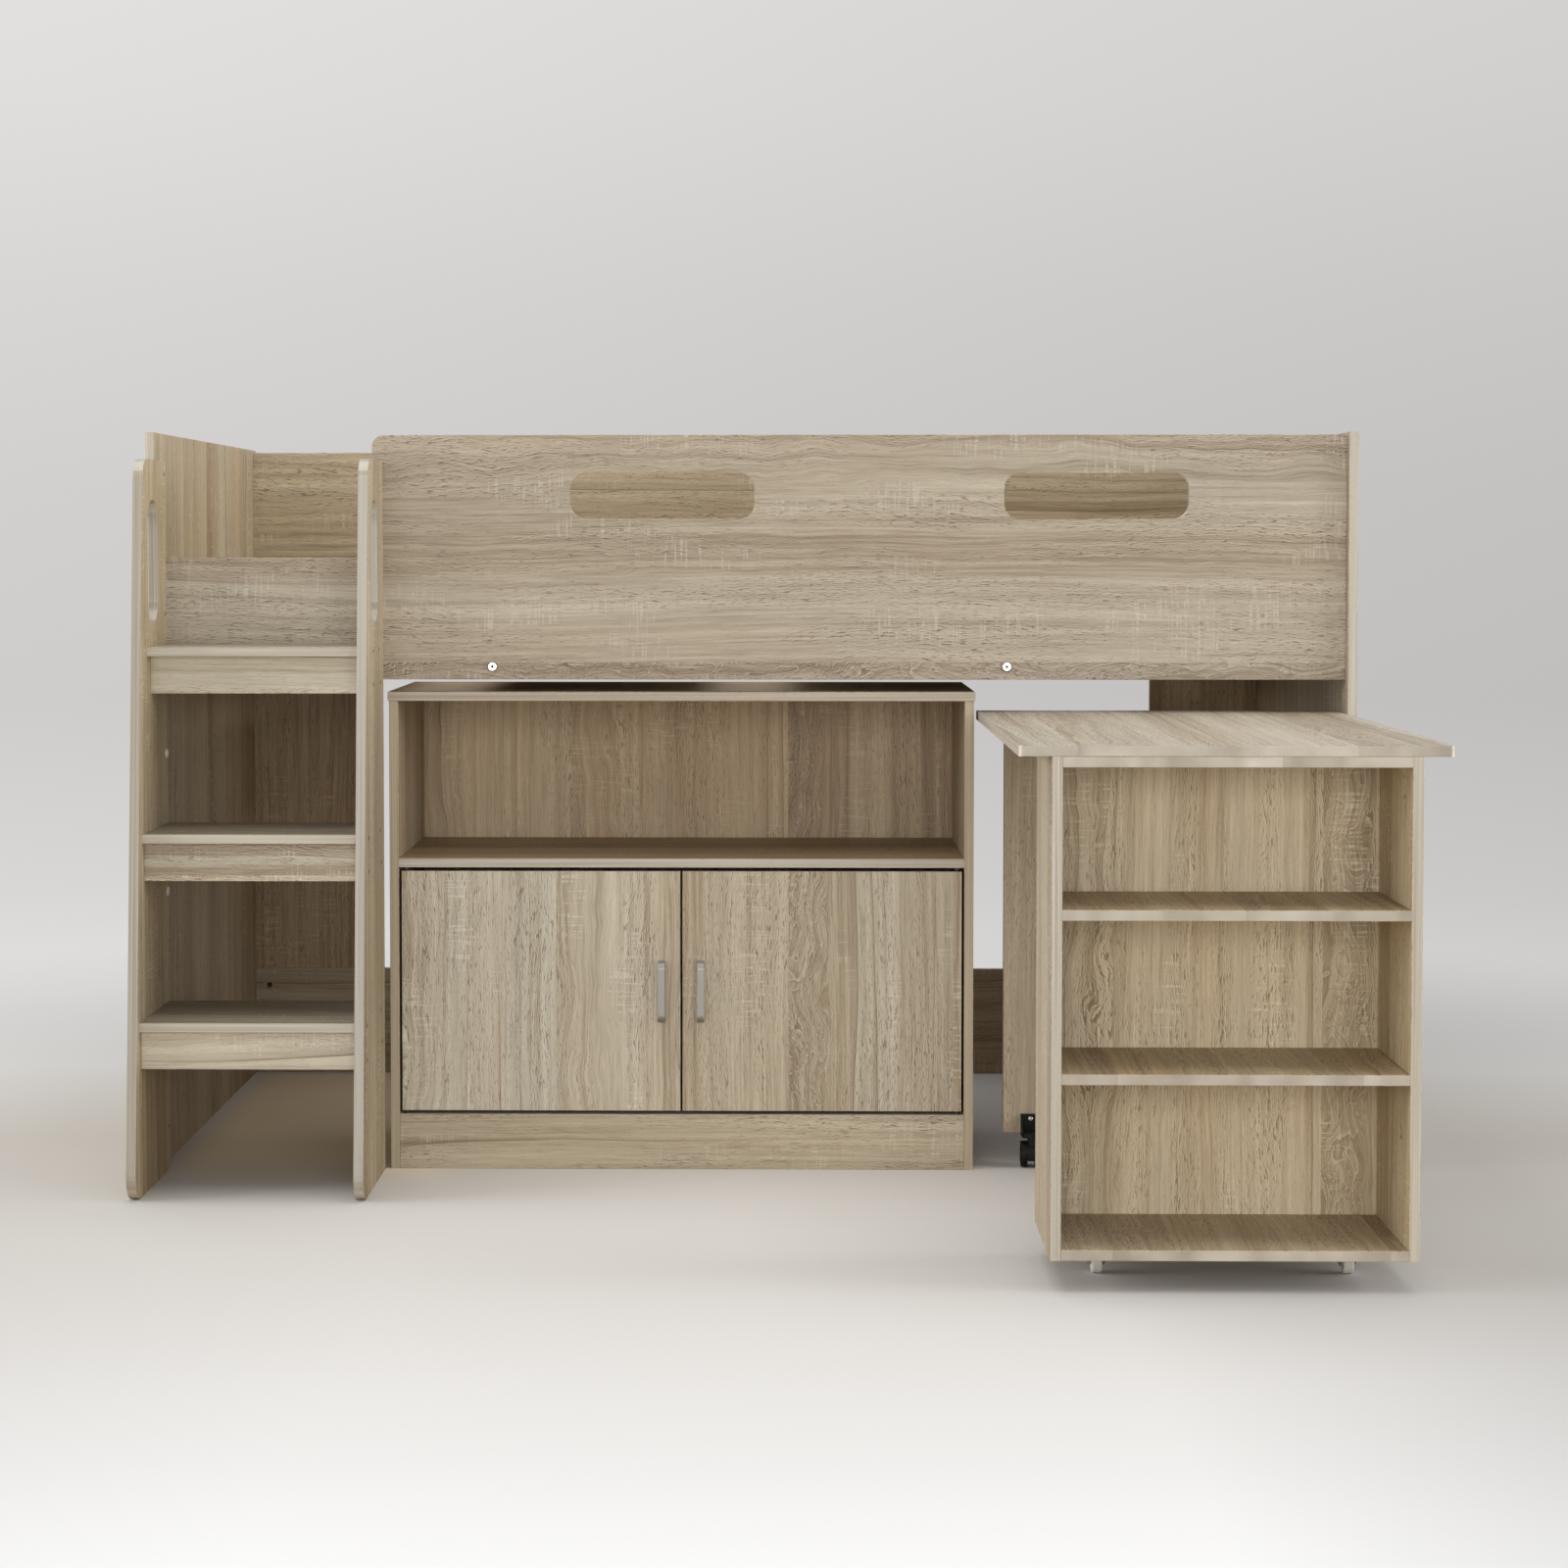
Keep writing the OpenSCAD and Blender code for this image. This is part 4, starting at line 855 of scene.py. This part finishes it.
def finish_fittings():
    """Finishes the pine and the metal and plastic nodes. Returns the steel and the zinc."""
    pine_x = make_pine("pine_x", "x")
    pine_y = make_pine("pine_y", "y")
    steel = make_metal("steel", rgb(226, 226, 224), 0.30)
    bolts = make_bolt_metal("bolt_steel", rgb(228, 228, 226), "connector_bolts")
    bright = make_metal("bright_steel", rgb(240, 240, 238), 0.35, metallic=0.25)
    dark_steel = make_metal("dark_steel", rgb(38, 35, 32), 0.50, metallic=0.4)
    satin = make_metal("satin_metal", rgb(151, 150, 147), 0.46, (900, 900, 12), 0.2, 0.6)
    zinc = make_metal("zinc", rgb(205, 206, 208), 0.34)
    grey_wheel = make_plastic("grey_wheel", rgb(196, 195, 190), 0.5)
    black = make_plastic("black_plastic", rgb(15, 12, 9), 0.50, 0.22)
    nylon = make_plastic("nylon", rgb(58, 53, 47), 0.45)
    finishes = {
        pine_x: ["slat_battens"],
        pine_y: ["tie_beams"],
        steel: ["barrel_nuts"],
        bright: ["ladder_bolts"],
        bolts: ["connector_bolts"],
        dark_steel: ["ladder_screws", "cam_locks", "door_pins_left", "door_pins_right"],
        satin: ["door_handle_left", "door_handle_right"],
        zinc: ["front_castor_plates", "front_castor_fork_left", "front_castor_fork_right"],
        grey_wheel: ["front_castor_wheel_left", "front_castor_wheel_right"],
        black: ["rear_castor_brackets", "rear_castor_hood_left", "rear_castor_hood_right",
                "rear_castor_wheels_left", "rear_castor_wheels_right"],
        nylon: ["pivot_bushes"],
    }
    for material, nodes in finishes.items():
        for node in nodes:
            assign(node, material)
    return steel, zinc


# ---- small fittings ------------------------------------------------------------------
# Screw heads, nails and washers. Their places come from the nodes that they hold.

# Front castors' square plates: side, thickness, and how far in from their edges the screws sit
PLATE_SIDE = 0.038
PLATE_THICK = 0.002
PLATE_SCREW_IN = 0.005
# Rear castors' brackets: half their width, thickness, and how far down from the top a screw sits
BRACKET_HALF = 0.016
BRACKET_THICK = 0.005
BRACKET_SCREW_DOWN = 0.0078
# How far in from a handle's ends its screws sit
HANDLE_SCREW_IN = 0.003
# Nails of the thin back board: how far in from its sides, how far from its corners the rows up
# the sides and along the shelves begin, and about how far apart the nails are
NAIL_IN = 0.0075
NAIL_FROM_CORNER_Z = 0.03
NAIL_FROM_CORNER_X = 0.09
NAIL_PITCH = 0.14
# Heads: radius, height and the width of the cross recess, which a nail lacks
PLATE_SCREW = (0.0034, 0.0015, 0.0009)
BRACKET_SCREW = (0.0042, 0.0024, 0.0011)
HANDLE_SCREW = (0.0040, 0.0022, 0.0010)
NAIL = (0.0030, 0.0010, 0.0)
# A recess ends at this share of the head's radius, and is this share of its height deep
RECESS_REACH = 0.55
RECESS_DEPTH = 0.5
# Washers on the stems: inner and outer radius and thickness, and the slit above the hood's neck
WASHER = (0.0042, 0.0090, 0.0004)
WASHER_SLIT = 0.00005
# Rings from the middle of a head to its edge, and points around a head or washer
HEAD_RINGS = 9
TURNS = 40
# Edges that turn by more degrees than this stay sharp
SHARP_EDGE = 35
DOWN = Vector((0, 0, -1))
FRONT = Vector((0, -1, 0))
BACK = Vector((0, 1, 0))


def head_points(radius, height, recess):
    """Rings of points of a domed head on z = 0, with a cross recess."""
    for i in range(HEAD_RINGS + 1):
        share = i / HEAD_RINGS
        for j in range(TURNS):
            angle = 2 * math.pi * j / TURNS
            x = radius * share * math.cos(angle)
            y = radius * share * math.sin(angle)
            z = height * math.sqrt(1 - share ** 3)
            near, far = sorted((abs(x), abs(y)))
            if near < recess / 2 and far < radius * RECESS_REACH:
                z -= height * RECESS_DEPTH
            yield i, j, (x, y, z)


def add_head(build, at, axis, head):
    """Adds one closed head at a point, its dome facing along axis."""
    turn = axis.to_track_quat("Z", "Y").to_matrix().to_4x4()
    place = Matrix.Translation(at) @ turn
    rows = {}
    for i, j, point in head_points(*head):
        if i == 0 and j > 0:
            continue
        rows.setdefault(i, []).append(build.verts.new(place @ Vector(point)))
    for j in range(TURNS):
        after = (j + 1) % TURNS
        build.faces.new((rows[0][0], rows[1][j], rows[1][after]))
        for i in range(1, HEAD_RINGS):
            build.faces.new((rows[i][j], rows[i + 1][j], rows[i + 1][after], rows[i][after]))
    build.faces.new(reversed(rows[HEAD_RINGS]))


def add_ring(build, at, inner, outer, height):
    """Adds one closed flat washer that lies on a point."""
    corners = ((inner, 0), (outer, 0), (outer, height), (inner, height))
    rows = []
    for radius, z in corners:
        rows.append([build.verts.new(at + Vector((
            radius * math.cos(2 * math.pi * j / TURNS),
            radius * math.sin(2 * math.pi * j / TURNS), z))) for j in range(TURNS)])
    for i in range(len(rows)):
        row, above = rows[i], rows[(i + 1) % len(rows)]
        for j in range(TURNS):
            after = (j + 1) % TURNS
            build.faces.new((row[j], row[after], above[after], above[j]))


def add_piece(name, body, material, build):
    """Turns a bmesh into a piece that rides on a body."""
    mesh = bpy.data.meshes.new(name)
    bmesh.ops.recalc_face_normals(build, faces=build.faces)
    build.to_mesh(mesh)
    build.free()
    mesh.shade_smooth()
    mesh.set_sharp_from_angle(angle=math.radians(SHARP_EDGE))
    mesh.materials.append(material)
    piece = bpy.data.objects.new(name, mesh)
    bpy.context.scene.collection.objects.link(piece)
    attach(piece, body)


def make_plate_screws(zinc):
    """Four screws under each front castor's plate."""
    low, high = corners_of("front_castor_plates")
    reach = PLATE_SIDE / 2 - PLATE_SCREW_IN
    middle_y = (low.y + high.y) / 2
    build = bmesh.new()
    for x in (low.x + PLATE_SIDE / 2, high.x - PLATE_SIDE / 2):
        for i in (-1, 1):
            for k in (-1, 1):
                at = Vector((x + i * reach, middle_y + k * reach, high.z - PLATE_THICK))
                add_head(build, at, DOWN, PLATE_SCREW)
    add_piece("castor_plate_screws", "desk", zinc, build)


def make_bracket_fittings(steel):
    """The screw that holds each rear castor's bracket, and the washer on its stem."""
    low, high = corners_of("rear_castor_brackets")
    neck_top = corners_of("rear_castor_hood_left")[1].z
    xs = (low.x + BRACKET_HALF, high.x - BRACKET_HALF)
    build = bmesh.new()
    for x in xs:
        at = Vector((x, high.y - BRACKET_THICK, high.z - BRACKET_SCREW_DOWN))
        add_head(build, at, FRONT, BRACKET_SCREW)
    add_piece("bracket_screws", "desk", steel, build)
    build = bmesh.new()
    for x in xs:
        at = Vector((x, low.y + BRACKET_HALF, neck_top + WASHER_SLIT))
        add_ring(build, at, *WASHER)
    add_piece("stem_washers", "desk", steel, build)


def make_handle_screws(steel):
    """Two screws in each door's back, one at each end of its handle."""
    for side in ("left", "right"):
        low, high = corners_of(f"door_handle_{side}")
        middle_x = (low.x + high.x) / 2
        door_back = corners_of(f"door_{side}")[1].y
        build = bmesh.new()
        for z in (low.z + HANDLE_SCREW_IN, high.z - HANDLE_SCREW_IN):
            add_head(build, Vector((middle_x, door_back, z)), BACK, HANDLE_SCREW)
        add_piece(f"handle_screws_{side}", f"door_{side}", steel, build)


def spread(start, end, pitch):
    """Even places from start to end, about a pitch apart."""
    gaps = round((end - start) / pitch)
    return [start + (end - start) * i / gaps for i in range(gaps + 1)]


def make_back_nails(steel):
    """Nails up both sides of the thin back board, and along the two boards that it covers."""
    low, high = corners_of("cupboard_back")
    levels = []
    for node in ("cupboard_bottom", "cupboard_shelf"):
        board_low, board_high = corners_of(node)
        levels.append((board_low.z + board_high.z) / 2)
    build = bmesh.new()
    for z in spread(low.z + NAIL_FROM_CORNER_Z, high.z - NAIL_FROM_CORNER_Z, NAIL_PITCH):
        for x in (low.x + NAIL_IN, high.x - NAIL_IN):
            add_head(build, Vector((x, high.y, z)), BACK, NAIL)
    for z in levels:
        for x in spread(low.x + NAIL_FROM_CORNER_X, high.x - NAIL_FROM_CORNER_X, NAIL_PITCH):
            add_head(build, Vector((x, high.y, z)), BACK, NAIL)
    add_piece("back_board_nails", "bed", steel, build)


def make_fittings(steel, zinc):
    """Makes every small fitting."""
    make_plate_screws(zinc)
    make_bracket_fittings(steel)
    make_handle_screws(steel)
    make_back_nails(steel)


# ---- studio --------------------------------------------------------------------------

# The floor: its side, its centre, and how far from there it starts and ends fading into the
# backdrop
FLOOR_SIZE = 40
FLOOR_CENTRE = (0.0, -1.0)
FLOOR_FADE = (2.6, 4.2)
# Backdrop's grey by the height of the line of sight, as (sine of its elevation, sRGB grey)
BACKDROP = [(-0.32, 246), (-0.22, 230), (-0.17, 214), (-0.139, 219), (-0.108, 209), (-0.048, 199),
            (0.018, 202), (0.08, 208), (0.142, 216), (0.18, 219), (0.60, 222)]
# Shares of that on the left and on the right, and X of the line of sight where each is full
BACKDROP_SIDES = (1.09, 0.91)
BACKDROP_TURN = (-0.35, 0.35)
# Floor's colour from front to back, with painted shade about the object, and its share of that from
# left to right, with painted shade at the sides, most on the right
FLOOR_DEPTHS = [(-2.05, (217, 217, 217)), (-1.70, (209, 208, 207)), (-1.30, (203, 201, 199)),
                (-0.80, (199, 196, 192)), (0.20, (198, 194, 189)), (0.90, (213, 212, 211))]
FLOOR_SIDES = [(-1.2, 0.88), (-0.5, 1.0), (0.5, 1.0), (1.2, 0.70)]
# Behind the ladder the floor is painted with the boards' warm bounce light. That place starts and
# is full at these distances from the ladder's middle, and at these depths
FLOOR_PAINTED_BOUNCE = rgb(232, 215, 187)
LADDER_X = -0.72
LADDER_SIDES = (0.28, 0.17)
LADDER_FRONT = (-0.25, 0.10)
LADDER_BACK = (0.88, 0.82)
# The colour that the floor throws back on the object
FLOOR_BOUNCE = rgb(172, 154, 128)
# Colour and strength of the light from all around
AMBIENT_COLOUR = rgb(250, 249, 247)
AMBIENT = 0.57


def colour_at(t, value, stops):
    """Colour at a value, from (value, colour) stops."""
    low, high = stops[0][0], stops[-1][0]
    share = t.math("DIVIDE", t.math("SUBTRACT", value, low), high - low)
    return t.ramp(share, [((at - low) / (high - low), colour) for at, colour in stops])


def backdrop_colour(t, direction):
    """Pale grey that the camera sees behind the object, by the line of sight."""
    x, _, z = t.split(direction)
    colour = colour_at(t, z, [(sine, rgb(level, level - 1, level - 2)) for sine, level in BACKDROP])
    side = t.step(x, *BACKDROP_TURN, *BACKDROP_SIDES)
    return t.mix(1.0, colour, t.vector(side, side, side), "MULTIPLY")


def floor_colour(t, place):
    """Pale grey of the floor that the camera sees, with painted shade about the object and at the
    sides, and painted warm bounce light behind the ladder.
    """
    x, y, _ = t.split(place)
    colour = colour_at(t, y, [(depth, rgb(*levels)) for depth, levels in FLOOR_DEPTHS])
    side = colour_at(t, x, [(place_x, grey(share)) for place_x, share in FLOOR_SIDES])
    colour = t.mix(1.0, colour, side, "MULTIPLY")
    from_ladder = t.math("ABSOLUTE", t.math("SUBTRACT", x, LADDER_X))
    warm = t.mul(t.step(from_ladder, *LADDER_SIDES), t.step(y, *LADDER_FRONT))
    warm = t.mul(warm, t.step(y, *LADDER_BACK))
    return t.mix(warm, colour, FLOOR_PAINTED_BOUNCE)


def make_world():
    """Even light from all around, and the backdrop that the camera and mirrors see instead."""
    world = bpy.data.worlds.new("studio")
    world.use_nodes = True
    world.node_tree.nodes.clear()
    bpy.context.scene.world = world
    t = Tree(world.node_tree)
    direction = t.node("ShaderNodeTexCoord").outputs["Generated"]
    seen = t.node("ShaderNodeBackground", {"Color": backdrop_colour(t, direction), "Strength": 1.0})
    light = t.node("ShaderNodeBackground", {"Color": AMBIENT_COLOUR, "Strength": AMBIENT})
    path = t.node("ShaderNodeLightPath").outputs
    straight = t.math("MAXIMUM", path["Is Camera Ray"], path["Is Glossy Ray"])
    straight = t.math("MAXIMUM", straight, path["Is Transmission Ray"])
    both = t.node("ShaderNodeMixShader", {"Fac": straight})
    t.feed(both.inputs[1], light.outputs[0])
    t.feed(both.inputs[2], seen.outputs[0])
    output = t.node("ShaderNodeOutputWorld")
    t.feed(output.inputs["Surface"], both.outputs[0])


def floor_material():
    """Matt floor that fades into the backdrop."""
    material = bpy.data.materials.new("studio_floor")
    material.use_nodes = True
    material.node_tree.nodes.clear()
    t = Tree(material.node_tree)
    place = t.node("ShaderNodeNewGeometry").outputs["Position"]
    x, y, _ = t.split(place)
    away = t.vector(
        t.math("SUBTRACT", x, FLOOR_CENTRE[0]), t.math("SUBTRACT", y, FLOOR_CENTRE[1]), 0.0)
    fade = t.step(t.length(away), *FLOOR_FADE)
    path = t.node("ShaderNodeLightPath").outputs
    matt = t.node("ShaderNodeBsdfDiffuse", {
        "Color": t.mix(path["Is Camera Ray"], FLOOR_BOUNCE, floor_colour(t, place))})
    gone = t.mul(fade, path["Is Camera Ray"])
    shown = t.node("ShaderNodeMixShader", {"Fac": gone})
    t.feed(shown.inputs[1], matt.outputs[0])
    t.feed(shown.inputs[2], t.node("ShaderNodeBsdfTransparent").outputs[0])
    output = t.node("ShaderNodeOutputMaterial")
    t.feed(output.inputs["Surface"], shown.outputs[0])
    return material


def make_floor():
    """Flat floor that the object stands on."""
    mesh = bpy.data.meshes.new("studio_floor")
    build = bmesh.new()
    bmesh.ops.create_grid(build, x_segments=1, y_segments=1, size=FLOOR_SIZE / 2)
    build.to_mesh(mesh)
    build.free()
    mesh.materials.append(floor_material())
    floor = bpy.data.objects.new("studio_floor", mesh)
    bpy.context.scene.collection.objects.link(floor)


# Soft boxes: name, where each hangs, what it points at, its width and height, its power in watts
SOFT_BOXES = [
    ("front", (0.0, -6.0, 1.2), (0.0, 0.0, 0.6), 4.0, 2.0, 132),
    ("top", (0.0, -0.5, 5.0), (0.0, -0.3, 0.0), 5.0, 4.0, 124),
    ("left", (-5.0, -1.0, 1.6), (0.0, -0.3, 0.6), 3.0, 2.5, 184),
    ("right", (5.0, -1.0, 1.6), (0.0, -0.3, 0.6), 3.0, 2.5, 184),
]


def make_lights():
    """Soft boxes in front, above and at both sides."""
    for name, at, target, width, height, power in SOFT_BOXES:
        data = bpy.data.lights.new(name, "AREA")
        data.shape = "RECTANGLE"
        data.size = width
        data.size_y = height
        data.energy = power
        lamp = bpy.data.objects.new(name, data)
        lamp.location = at
        lamp.rotation_euler = (Vector(target) - Vector(at)).to_track_quat("-Z", "Y").to_euler()
        bpy.context.scene.collection.objects.link(lamp)


# ---- build ---------------------------------------------------------------------------

make_camera()
make_world()
make_floor()
make_lights()
finish_boards()
make_fittings(*finish_fittings())

bpy.context.scene.view_settings.view_transform = "Standard"
